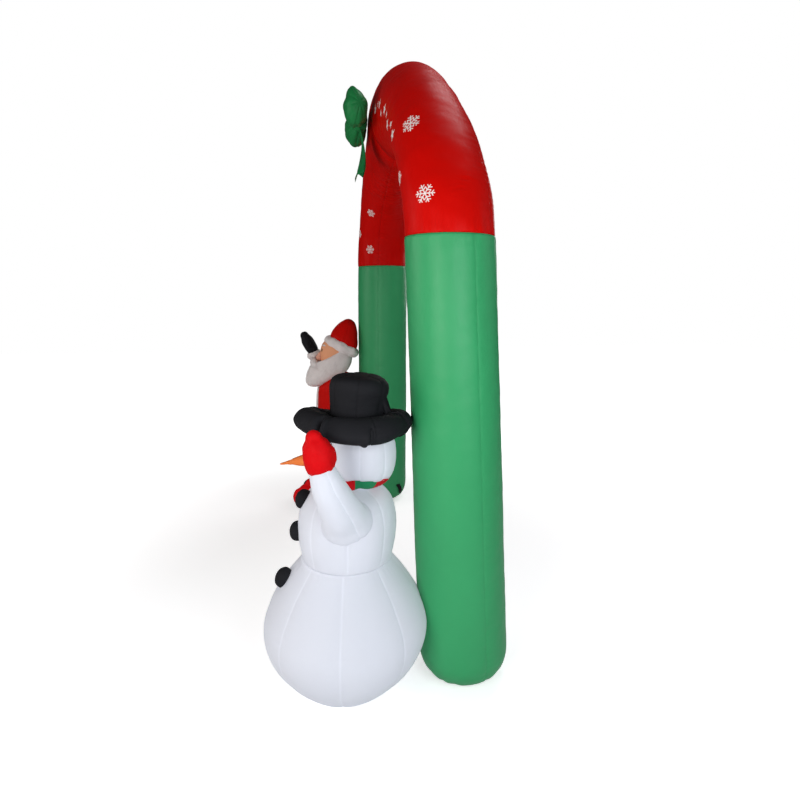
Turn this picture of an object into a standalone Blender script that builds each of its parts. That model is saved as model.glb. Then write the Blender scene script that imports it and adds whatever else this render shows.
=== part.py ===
"""Inflatable garden arch with a snowman and a Father Christmas figure.

Metres, +Z up, floor at z = 0. The span runs along X: the snowman stands before
the +X leg, the bearded figure before the -X leg. The front faces -Y.
Every piece is one closed solid and one node. Pieces that are sewn or tied
together lie GAP apart.
"""
import math

import bmesh
import bpy
from mathutils import Matrix, Vector

for old in list(bpy.data.objects):
    bpy.data.objects.remove(old, do_unlink=True)

# ---------------------------------------------------------------- dimensions
GAP = 0.0003             # between two pieces that are sewn together
AROUND = 32              # facets round the tube

# Where the arch's middle plane lies, so that the whole part is centred on 0, 0
ARCH_X = -0.0274
ARCH_Y = 0.2313

# Arch: one inflated tube, 10 ft high
HALF_SPAN = 1.04         # centre of a leg from the middle of the arch
LEG_RX = 0.188           # leg radius along the span
LEG_RY = 0.200           # leg radius front to back
FOOT_TAPER = 0.955       # a leg is this much narrower at its foot
FOOT_ROUND_IN = 0.120    # rounding of a foot's edge: inwards
FOOT_ROUND_UP = 0.135    # ... and upwards
SEAM_Z = 1.890           # green leg ends, red top begins
CROWN_OUT_Z = 3.050      # highest point
CROWN_IN_Z = 2.480       # underside at the middle
HAUNCH_POWER = 1.65      # outer outline: 2 is an ellipse, less is more pointed
INNER_STRAIGHT_Z = 1.950  # inner outline stays upright to here
INNER_X_POWER = 1.30     # below 2: a creased, pointed underside
INNER_Z_POWER = 2.20     # above 2: a fuller inner corner
CROWN_RY = 0.213         # tube radius front to back at the crown
HAUNCH_SLIM = 0.008      # it is this much slimmer halfway up the curve
CROWN_SECTION = 2.05     # section power at the crown: 2 is an ellipse
CREASE_DEPTH = 0.010     # the fold at the crown's inner side
CREASE_WIDTH = 0.045
LEAN_NEAR = 0.097        # the +X foot stands this far behind the crown
LEAN_FAR = 0.002

# Stake loops: webbing sewn to the inner back of each leg, just above the floor
WEB_WIDTH = 0.036
WEB_THICK = 0.0025
LOOP_LOW_Z, LOOP_HIGH_Z = 0.066, 0.150
LOOP_SLACK = 0.003                # it stands this far off the leg at its middle
LOOP_ANGLE = math.radians(41)     # round from the inner side towards the back
LOOP_SLANT = math.radians(7)
LOOP_STEPS = 9

# Snowman: middles of its rounds, from the arch's middle plane
SNOW_X = 1.04
LOWER_Y, WAIST_Z = -0.411, 0.551
MIDDLE_Y, NECK_Z = -0.406, 0.848
HEAD_Y, HEAD_R = -0.344, 0.1435
BRIM_Y, BRIM_Z, BRIM_R, BRIM_HALF = -0.383, 1.110, 0.250, 0.050
BRIM_DROOP = 0.044       # the brim's sides hang this much below its front and back
BRIM_TILT, BRIM_ROLL = math.radians(3.2), math.radians(7)   # its back and far side are low
CROWN_Y, CROWN_Z, CROWN_HIGH, CROWN_TILT = -0.367, 1.128, 0.176, math.radians(4.5)
SCARF_R, SCARF_ROLL = 0.103, 0.020
BUTTON_R, BUTTON_HIGH = 0.039, 0.030

# Bearded figure
ELF_X = -1.04
COAT_Y = -0.362
BACK_TILT = math.radians(27)    # its head looks up by this much
MOUSTACHE = ((0.000, -0.552, 1.122, 0.024), (0.026, -0.556, 1.120, 0.030),   # x, y, z, radius
             (0.056, -0.550, 1.108, 0.030), (0.088, -0.532, 1.090, 0.021),
             (0.110, -0.516, 1.078, 0.009))

# Bow
BOW_Z = 2.735
TAIL_THICK = 0.004

WHITE = (0.80, 0.80, 0.83, 1)
GREEN = (0.03, 0.26, 0.12, 1)
DARK_GREEN = (0.015, 0.13, 0.04, 1)
RED = (0.52, 0.008, 0.006, 1)
BRIGHT_RED = (0.62, 0.012, 0.015, 1)
BLACK = (0.014, 0.014, 0.016, 1)
ORANGE = (0.90, 0.25, 0.04, 1)
SKIN = (0.75, 0.36, 0.22, 1)
HAIR = (0.62, 0.61, 0.62, 1)


WHOLE = {}               # each piece's mesh before anything is cut off it


# ---------------------------------------------------------------- helpers
def world(x, y, z):
    """A point given from the arch's middle, in the part's frame."""
    return Vector((ARCH_X + x, ARCH_Y + y, z))


def material(colour, rough=0.62):
    name = "cloth_%02d%02d%02d" % tuple(int(99 * c) for c in colour[:3])
    found = bpy.data.materials.get(name)
    if found:
        return found
    mat = bpy.data.materials.new(name)
    mat.use_nodes = True
    shader = mat.node_tree.nodes["Principled BSDF"]
    shader.inputs["Base Color"].default_value = colour
    shader.inputs["Roughness"].default_value = rough
    shader.inputs["Metallic"].default_value = 0.0
    mat.diffuse_color = colour
    return mat


def as_object(name, bm, colour):
    bmesh.ops.triangulate(bm, faces=bm.faces)
    bmesh.ops.recalc_face_normals(bm, faces=bm.faces)
    mesh = bpy.data.meshes.new(name)
    bm.to_mesh(mesh)
    bm.free()
    obj = bpy.data.objects.new(name, mesh)
    bpy.context.scene.collection.objects.link(obj)
    mesh.materials.append(material(colour))
    WHOLE[name] = mesh.copy()
    return obj


def loft(name, rings, colour):
    """A closed solid through rings of equal count; an end ring is capped."""
    bm = bmesh.new()
    loops = [[bm.verts.new(p) for p in ring] for ring in rings]
    count = len(rings[0])
    for low, high in zip(loops, loops[1:]):
        for i in range(count):
            j = (i + 1) % count
            bm.faces.new((low[i], low[j], high[j], high[i]))
    for end in (loops[0], loops[-1]):
        bm.faces.new(end)
    bmesh.ops.remove_doubles(bm, verts=bm.verts, dist=1e-6)
    return as_object(name, bm, colour)


def power(value, exponent):
    return math.copysign(abs(value) ** exponent, value)


def frame_along(direction, side=Vector((1, 0, 0))):
    """Two unit vectors square to direction, the first nearest to side."""
    along = direction.normalized()
    first = (side - along * side.dot(along)).normalized()
    return first, along.cross(first)


def swept(name, stations, colour, count=16, side=Vector((1, 0, 0)), section=2.0):
    """Loft of ellipses along stations (centre, radius a, radius b): a lies along
    side, b square to it and to the path."""
    rings = []
    for k, (centre, ra, rb) in enumerate(stations):
        before = stations[max(k - 1, 0)][0]
        after = stations[min(k + 1, len(stations) - 1)][0]
        u, v = frame_along(after - before, side)
        rings.append([
            centre
            + u * ra * power(math.cos(a), 2 / section)
            + v * rb * power(math.sin(a), 2 / section)
            for a in (2 * math.pi * i / count for i in range(count))])
    return loft(name, rings, colour)


def rounded_ends(points, radii, steps=3):
    """Stations along points, with both ends drawn in to a round nose."""
    stations = []
    first, last = points[0], points[-1]
    lead = (points[1] - first).normalized()
    tail = (last - points[-2]).normalized()
    nose = min(radii[0])
    for k in range(steps):
        a = math.pi / 2 * (k + 0.35) / steps
        stations.append((first - lead * nose * math.cos(a),
                         radii[0][0] * math.sin(a), radii[0][1] * math.sin(a)))
    stations += [(p, r[0], r[1]) for p, r in zip(points, radii)]
    nose = min(radii[-1])
    for k in reversed(range(steps)):
        a = math.pi / 2 * (k + 0.35) / steps
        stations.append((last + tail * nose * math.cos(a),
                         radii[-1][0] * math.sin(a), radii[-1][1] * math.sin(a)))
    return stations


def lathe(name, profile, centre, colour, count=24, gores=0, sink=0.012, tilt=0.0,
          roll=0.0, droop=0.0):
    """Turned solid: profile of (radius, height). With gores, each seam lies
    sink times the radius deeper than the cloth between. tilt leans it back, roll
    leans it away from the near side and droop lets its sides hang."""
    widest = max(radius for radius, height in profile)
    turn = Matrix.Rotation(-roll, 3, "Y") @ Matrix.Rotation(-tilt, 3, "X")
    rings = []
    for radius, height in profile:
        ring = []
        for i in range(count):
            a = 2 * math.pi * i / count
            r = radius
            if gores:
                r *= 1 - sink * math.cos(gores * a / 2) ** 8
            hang = droop * (r * math.cos(a) / widest) ** 2
            ring.append(centre + turn @ Vector(
                (r * math.cos(a), r * math.sin(a), height - hang)))
        rings.append(ring)
    return loft(name, rings, colour)


def tilted(name, sections, colour, count=20):
    """Loft through ovals (centre, radius x, radius y, degrees its back is lifted)."""
    rings = []
    for centre, rx, ry, lift in sections:
        turn = Matrix.Rotation(math.radians(lift), 3, "X")
        rings.append([centre + turn @ Vector((rx * math.cos(a), ry * math.sin(a), 0))
                      for a in (2 * math.pi * i / count for i in range(count))])
    return loft(name, rings, colour)


def flat_sole(obj, z):
    """Press everything below z flat on it."""
    for v in obj.data.vertices:
        if v.co.z < z + 0.004:
            v.co.z = z


def ring_roll(name, centre, rx, ry, thick, high, colour, lean_back=0.0, around=24, tube=8):
    """A puffed roll on an oval: its section is thick across and high up."""
    turn = Matrix.Rotation(-lean_back, 3, "X")
    bm = bmesh.new()
    rows = []
    for i in range(around):
        a = 2 * math.pi * i / around
        out = Vector((math.cos(a), math.sin(a), 0))
        puff = 1 + 0.04 * math.cos(8 * a)
        row = []
        for j in range(tube):
            b = 2 * math.pi * j / tube
            p = (Vector((rx * math.cos(a), ry * math.sin(a), 0))
                 + out * thick * puff * math.cos(b) + Vector((0, 0, high * puff * math.sin(b))))
            row.append(bm.verts.new(centre + turn @ p))
        rows.append(row)
    for i in range(around):
        for j in range(tube):
            a, b = rows[i], rows[(i + 1) % around]
            bm.faces.new((a[j], b[j], b[(j + 1) % tube], a[(j + 1) % tube]))
    return as_object(name, bm, colour)


def cuff(name, centre, direction, radius):
    """A fluffy cuff: a fat disc over the sleeve's end."""
    d = direction.normalized()
    stations = [(centre + d * h, radius * r, radius * r) for h, r in (
        (-0.030, 0.78), (-0.024, 0.94), (-0.010, 1.06), (0.006, 1.06), (0.020, 0.94), (0.026, 0.74))]
    return swept(name, stations, HAIR)


def dome(radius, height, low=0.0, steps=5, power_=2.0):
    """Profile points from the rim (radius, low) up over a dome."""
    return [(radius * power(math.cos(a), 2 / power_), low + height * power(math.sin(a), 2 / power_))
            for a in (math.pi / 2 * (k + 0.0) / (steps + 0.6) for k in range(steps + 1))]


def grown(obj, by):
    """The uncut obj, by thicker all round, to cut a neighbour's seat with."""
    bm = bmesh.new()
    bm.from_mesh(WHOLE[obj.name])
    bm.normal_update()
    shift = [(v, v.normal * by) for v in bm.verts]
    for v, move in shift:
        v.co += move
    mesh = bpy.data.meshes.new("cutter")
    bm.to_mesh(mesh)
    bm.free()
    cutter = bpy.data.objects.new("cutter", mesh)
    bpy.context.scene.collection.objects.link(cutter)
    cutter.matrix_world = obj.matrix_world.copy()
    return cutter


def keep_largest(mesh):
    """Drop the crumbs that a cut leaves, so that one body stays."""
    bm = bmesh.new()
    bm.from_mesh(mesh)
    bm.faces.ensure_lookup_table()
    left, islands = set(bm.faces), []
    while left:
        island, edge = set(), [left.pop()]
        while edge:
            face = edge.pop()
            island.add(face)
            for near in (f for e in face.edges for f in e.link_faces if f in left):
                left.discard(near)
                edge.append(near)
        islands.append(island)
    islands.sort(key=lambda faces: sum(f.calc_area() for f in faces))
    for island in islands[:-1]:
        bmesh.ops.delete(bm, geom=list(island), context="FACES")
    bm.to_mesh(mesh)
    bm.free()
    return mesh


def seat(piece, *neighbours, gap=GAP):
    """Cut piece back so that it lies gap off each neighbour."""
    for neighbour in neighbours:
        cutter = grown(neighbour, gap)
        cut = piece.modifiers.new("seat", "BOOLEAN")
        cut.operation = "DIFFERENCE"
        cut.solver = "EXACT"
        cut.object = cutter
        bpy.context.view_layer.update()
        graph = bpy.context.evaluated_depsgraph_get()
        mesh = bpy.data.meshes.new_from_object(piece.evaluated_get(graph))
        piece.modifiers.clear()
        piece.data = keep_largest(mesh)
        bpy.data.objects.remove(cutter, do_unlink=True)
    return piece


# ---------------------------------------------------------------- the arch
def lean(x, z):
    """How far the tube's middle lies behind the arch's plane."""
    near = (x / HALF_SPAN + 1) / 2
    return (LEAN_NEAR * near + LEAN_FAR * (1 - near)) * (1 - z / CROWN_OUT_Z)


def leg_radii(z):
    """Leg radii along the span and front to back at height z."""
    taper = FOOT_TAPER + (1 - FOOT_TAPER) * z / SEAM_Z
    up = max(0.0, 1 - z / FOOT_ROUND_UP)
    drawn = FOOT_ROUND_IN * (1 - math.sqrt(1 - up * up))
    return LEG_RX * taper - drawn, LEG_RY * taper - drawn


def leg(name, side):
    """A green leg: a slightly tapered tube with a rounded, flat-bottomed foot."""
    heights = [FOOT_ROUND_UP * (1 - math.cos(math.radians(a))) for a in (0, 24, 42, 60, 75, 90)]
    steps = 4
    heights += [FOOT_ROUND_UP + (SEAM_Z - GAP - FOOT_ROUND_UP) * (k + 1) / steps
                for k in range(steps)]
    rings = []
    for z in heights:
        rx, ry = leg_radii(z)
        rings.append([world(side * HALF_SPAN + rx * math.cos(a),
                            lean(side * HALF_SPAN, z) + ry * math.sin(a), z)
                      for a in (2 * math.pi * i / AROUND for i in range(AROUND))])
    return loft(name, rings, GREEN)


def crown_station(angle, side):
    """Outer and inner outline points, in the arch's plane, at one station."""
    c, s = max(math.cos(angle), 0.0), math.sin(angle)
    out_x = (HALF_SPAN + LEG_RX) * c ** (2 / HAUNCH_POWER)
    out_z = SEAM_Z + (CROWN_OUT_Z - SEAM_Z) * s ** (2 / HAUNCH_POWER)
    in_x = (HALF_SPAN - LEG_RX) * c ** (2 / INNER_X_POWER)
    upright = min(angle / math.radians(15), 1.0)
    in_z = (SEAM_Z + (INNER_STRAIGHT_Z - SEAM_Z) * upright
            + (CROWN_IN_Z - INNER_STRAIGHT_Z) * s ** (2 / INNER_Z_POWER))
    return Vector((side * out_x, 0, out_z)), Vector((side * in_x, 0, in_z))


def arch_top():
    """The red top: a tube that thickens to its crown, creased at the middle."""
    angles = [math.radians(a) for a in
              (0, 5, 11, 17, 24, 31, 39, 47, 55, 63, 71, 78, 83, 87)]
    stations = [(a, 1) for a in angles] + [(math.pi / 2, 1)] + [(a, -1) for a in reversed(angles)]
    rings = []
    for angle, side in stations:
        outer, inner = crown_station(angle, side)
        if angle == 0:
            outer.z = inner.z = SEAM_Z
        middle, half = (outer + inner) / 2, (outer - inner) / 2
        share = math.sin(angle)
        ry = LEG_RY + (CROWN_RY - LEG_RY) * share - HAUNCH_SLIM * math.sin(2 * angle)
        section = 2 + (CROWN_SECTION - 2) * share
        crease = CREASE_DEPTH * math.exp(-(middle.x / CREASE_WIDTH) ** 2)
        ring = []
        for i in range(AROUND):
            a = 2 * math.pi * i / AROUND
            ca, sa = power(math.cos(a), 2 / section), power(math.sin(a), 2 / section)
            inward = max(0.0, 0.35 - ca) / 1.35      # only the inner side creases
            p = middle + half * ca * (1 - crease * inward / half.length)
            y = lean(middle.x, middle.z) + (ry - crease * inward) * sa
            ring.append(world(p.x, y, p.z))
        rings.append(ring)
    return loft("arch_top", rings, RED)


def stake_loop(name, side, leg_obj):
    """A webbing loop that lies flat on the leg: sewn on, a little slanted, at both ends."""
    z_mid, half_high = (LOOP_LOW_Z + LOOP_HIGH_Z) / 2, (LOOP_HIGH_Z - LOOP_LOW_Z) / 2
    rings = []
    for k in range(LOOP_STEPS + 1):
        t = -1 + 2 * k / LOOP_STEPS
        turn = LOOP_ANGLE - LOOP_SLANT * t
        a = turn if side < 0 else math.pi - turn
        out = Vector((math.cos(a), math.sin(a), 0))
        across = Vector((-math.sin(a), math.cos(a), 0))
        z = z_mid + half_high * t
        rx, ry = leg_radii(z)
        reach = 1 / math.sqrt((out.x / rx) ** 2 + (out.y / ry) ** 2)
        slack = LOOP_SLACK * max(0.0, 1 - (t / 0.7) ** 2)
        base = (world(side * HALF_SPAN, lean(side * HALF_SPAN, z), z)
                + out * (reach + slack - 0.0005))
        rings.append([base + across * w + out * h for w, h in (
            (-WEB_WIDTH / 2, 0), (WEB_WIDTH / 2, 0),
            (WEB_WIDTH / 2, WEB_THICK + 0.001), (-WEB_WIDTH / 2, WEB_THICK + 0.001))])
    return seat(loft(name, rings, BLACK), leg_obj)


# ---------------------------------------------------------------- the bow
def bow():
    """Two puffed loops, a knot and two tails, tied against the crown's front."""
    knot_y = -CROWN_RY - 0.060
    knot = swept("bow_knot", rounded_ends(
        [world(0, knot_y + 0.004, BOW_Z - 0.028), world(0, knot_y, BOW_Z),
         world(0, knot_y + 0.004, BOW_Z + 0.028)],
        [(0.044, 0.044), (0.050, 0.050), (0.044, 0.044)]), DARK_GREEN, count=16)
    seat(knot, crown)
    # x out from the knot, y and z of the loop's middle, half height, half depth
    run = ((0.030, 0.000, 0.000, 0.034, 0.034), (0.070, -0.012, 0.003, 0.062, 0.050),
           (0.120, -0.026, 0.006, 0.090, 0.064), (0.175, -0.038, 0.008, 0.107, 0.074),
           (0.225, -0.040, 0.004, 0.108, 0.074), (0.268, -0.034, -0.002, 0.094, 0.063),
           (0.298, -0.026, -0.005, 0.064, 0.044), (0.312, -0.022, -0.007, 0.028, 0.020))
    loops = []
    for name, side, back, drop in (("bow_loop_near", 1, 0.0, 0.0),
                                   ("bow_loop_far", -1, 0.055, 0.010)):
        stations = [(world(side * x, knot_y + y + back * x / 0.312, BOW_Z + z - drop * x / 0.312),
                     high, deep) for x, y, z, high, deep in run]
        obj = swept(name, stations, DARK_GREEN, side=Vector((0, 0, 1)))
        loops.append(seat(obj, knot, crown))
    tails = []
    for name, side, low, spread, swing, back_at, kick in (
            ("bow_tail_near", 1, 2.352, 0.110, 0.018, 0.90, 0.013),
            ("bow_tail_far", -1, 2.440, 0.120, 0.031, 1.15, 0.0)):
        tail = bow_tail(name, side, low, spread, knot_y, (swing, back_at, kick))
        tails.append(seat(tail, knot, *loops, crown, *tails))


def bow_tail(name, side, low, spread, knot_y, hang):
    """A ribbon from the knot, folded along its middle, that swings back and then forward."""
    swing, back_at, kick = hang
    rings = []
    steps = 7
    top = BOW_Z - 0.050
    for k in range(steps + 1):
        t = k / steps
        half = 0.022 + 0.034 * min(1.0, t * 1.6)
        y = knot_y + swing * math.sin(math.pi * t / back_at) - kick * t ** 3
        rings.append([world(side * (0.012 + spread * t) + w * half,
                            y - 0.010 * (1 - abs(w)) * (0.3 + t) - TAIL_THICK * th,
                            top + (low - top) * t - 0.028 * t * w * side)
                      for w, th in ((-1, 0), (0, 0), (1, 0), (1, 1), (0, 1), (-1, 1))])
    return loft(name, rings, DARK_GREEN)



# ---------------------------------------------------------------- snowman
def snow(x, y, z):
    return world(SNOW_X + x, y, z)


def snowman():
    # Lower round: eight gores, drawn in to the waist, flat where it stands
    lower = lathe("snowman_lower", [
        (0.080, 0.0), (0.130, 0.010), (0.182, 0.042), (0.235, 0.087), (0.285, 0.137),
        (0.320, 0.192), (0.339, 0.252), (0.340, 0.300), (0.322, 0.356), (0.290, 0.412),
        (0.252, 0.466), (0.214, 0.514), (0.186, WAIST_Z - GAP)],
        snow(0, LOWER_Y, 0), WHITE, gores=8)
    seat(lower, leg_near)

    # Middle round, drawn in to the neck
    middle = lathe("snowman_middle", [
        (0.186, WAIST_Z), (0.197, 0.590), (0.204, 0.640), (0.206, 0.690), (0.201, 0.740),
        (0.188, 0.782), (0.166, 0.812), (0.134, 0.833), (0.100, NECK_Z - GAP)],
        snow(0, MIDDLE_Y, 0), WHITE, gores=8, sink=0.010)

    # Head: rises into the hat brim
    head = lathe("snowman_head", [
        (0.090, NECK_Z), (0.112, 0.868), (0.131, 0.898), (0.141, 0.935), (HEAD_R, 0.975),
        (0.140, 1.020), (0.128, 1.062), (0.104, 1.100), (0.070, 1.122)],
        snow(0, HEAD_Y, 0), WHITE, gores=8, sink=0.008)

    # Hat: a puffed brim, its back and far side low, and a crown that swells to its top
    half = BRIM_HALF
    brim = lathe("snowman_hat_brim", [
        (0.030, -0.016), (0.105, -0.022), (0.142, -0.036), (0.182, -half), (0.214, -half * 0.86),
        (0.238, -half * 0.48), (BRIM_R, 0.0), (0.240, half * 0.52), (0.218, half * 0.90),
        (0.186, half), (0.152, 0.038), (0.112, 0.026), (0.030, 0.022)],
        snow(0, BRIM_Y, BRIM_Z), BLACK, gores=8, sink=0.020, tilt=BRIM_TILT,
        roll=BRIM_ROLL, droop=BRIM_DROOP)
    seat(brim, leg_near)
    hat = lathe("snowman_hat_crown", [
        (0.112, -0.012), (0.116, 0.045), (0.121, 0.083), (0.126, 0.116), (0.125, 0.141),
        (0.113, 0.161), (0.088, 0.172), (0.045, CROWN_HIGH)],
        snow(0, CROWN_Y, CROWN_Z), BLACK, count=21, gores=7, sink=0.010, tilt=CROWN_TILT)
    seat(hat, brim)
    seat(head, brim)

    # Carrot nose
    tip, root = snow(0, -0.685, 0.940), snow(0, HEAD_Y - 0.118, 0.952)
    nose = swept("snowman_nose", [
        (root.lerp(tip, t) + Vector((0, 0, 0.006 * math.sin(math.pi * t))), r, r)
        for t, r in ((0.0, 0.043), (0.12, 0.043), (0.3, 0.036), (0.5, 0.027), (0.7, 0.018),
                     (0.87, 0.010), (1.0, 0.003))], ORANGE, count=16)
    seat(nose, head)

    # Near arm: broad where it is let into the body, raised, in a red mitten
    arm_near = swept("snowman_arm_near", rounded_ends(
        [snow(0.158, -0.406, 0.660), snow(0.170, -0.410, 0.705), snow(0.190, -0.420, 0.752),
         snow(0.220, -0.438, 0.805), snow(0.252, -0.464, 0.865), snow(0.277, -0.491, 0.925),
         snow(0.289, -0.512, 0.985)],
        [(0.030, 0.045), (0.046, 0.076), (0.056, 0.086), (0.060, 0.080), (0.060, 0.071),
         (0.057, 0.062), (0.053, 0.055)]), WHITE, side=Vector((1, 0, 0)))
    seat(arm_near, middle)
    # Far arm: held forward, the mitten before the body
    arm_far = swept("snowman_arm_far", rounded_ends(
        [snow(-0.125, -0.408, 0.764), snow(-0.180, -0.430, 0.764), snow(-0.210, -0.473, 0.752),
         snow(-0.212, -0.515, 0.742)],
        [(0.064, 0.070), (0.060, 0.062), (0.053, 0.055), (0.048, 0.050)], ), WHITE, count=16,
        side=Vector((0, 0, 1)))
    seat(arm_far, middle)
    mitten("snowman_mitten_near", snow(0.290, -0.514, 1.000), snow(0.291, -0.518, 1.140),
           0.061, Vector((0, 1, 0)), arm_near, BRIGHT_RED)
    mitten("snowman_mitten_far", snow(-0.212, -0.525, 0.740), snow(-0.203, -0.625, 0.724),
           0.053, Vector((0, 0, 1)), arm_far, BRIGHT_RED)

    # Scarf: a soft roll in the neck's crease, its back high
    scarf = ring_roll("snowman_scarf", snow(0, (HEAD_Y + MIDDLE_Y) / 2, NECK_Z + 0.008),
                      SCARF_R, SCARF_R, SCARF_ROLL, SCARF_ROLL, BRIGHT_RED,
                      lean_back=-math.radians(9))
    seat(scarf, middle, head, arm_near, arm_far)

    # Buttons: soft domes down the front seam
    for k, (y, z, pitch) in enumerate(((-0.587, 0.790, 22), (-0.610, 0.660, -2), (-0.668, 0.470, 36))):
        rise = math.radians(pitch)
        out = Vector((0, -math.cos(rise), math.sin(rise)))
        base = snow(0, y, z) - out * 0.012
        stations = []
        for r, h in [(BUTTON_R * 0.96, 0.0), (BUTTON_R, 0.012)] + dome(
                BUTTON_R, BUTTON_HIGH, 0.018, 4)[0:]:
            stations.append((base + out * h, r, r))
        button = swept("snowman_button_%d" % (k + 1), stations, BLACK)
        seat(button, middle if k < 2 else lower)
    return middle, head


def mitten(name, wrist, tip, half, thumb, arm, colour):
    """A puffed mitten drawn over the arm's end, its thumb on one side."""
    along = tip - wrist
    shape = [(0.00, 0.84), (0.06, 0.94), (0.18, 1.00), (0.36, 1.02), (0.55, 0.97), (0.72, 0.86),
             (0.86, 0.66), (0.95, 0.42), (0.99, 0.20)]
    stations = [(wrist + along * t, half * r, half * r * 0.88) for t, r in shape]
    body = swept(name, stations, colour, count=14, side=thumb)
    stub = swept("thumb", rounded_ends(
        [wrist + along * 0.34 + thumb * half * 0.50, wrist + along * 0.52 + thumb * half * 0.92,
         wrist + along * 0.64 + thumb * half * 1.06],
        [(half * 0.34, half * 0.34), (half * 0.32, half * 0.32), (half * 0.27, half * 0.27)],
        steps=2), colour, count=8, side=Vector((0.6, 0.5, 0.62)))
    join = body.modifiers.new("thumb", "BOOLEAN")
    join.operation, join.solver, join.object = "UNION", "EXACT", stub
    bpy.context.view_layer.update()
    graph = bpy.context.evaluated_depsgraph_get()
    mesh = bpy.data.meshes.new_from_object(body.evaluated_get(graph))
    body.modifiers.clear()
    body.data = mesh
    WHOLE[name] = mesh.copy()
    bpy.data.objects.remove(stub, do_unlink=True)
    return seat(body, arm)



# ---------------------------------------------------------------- bearded figure
def elf(x, y, z):
    return world(ELF_X + x, y, z)


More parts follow.
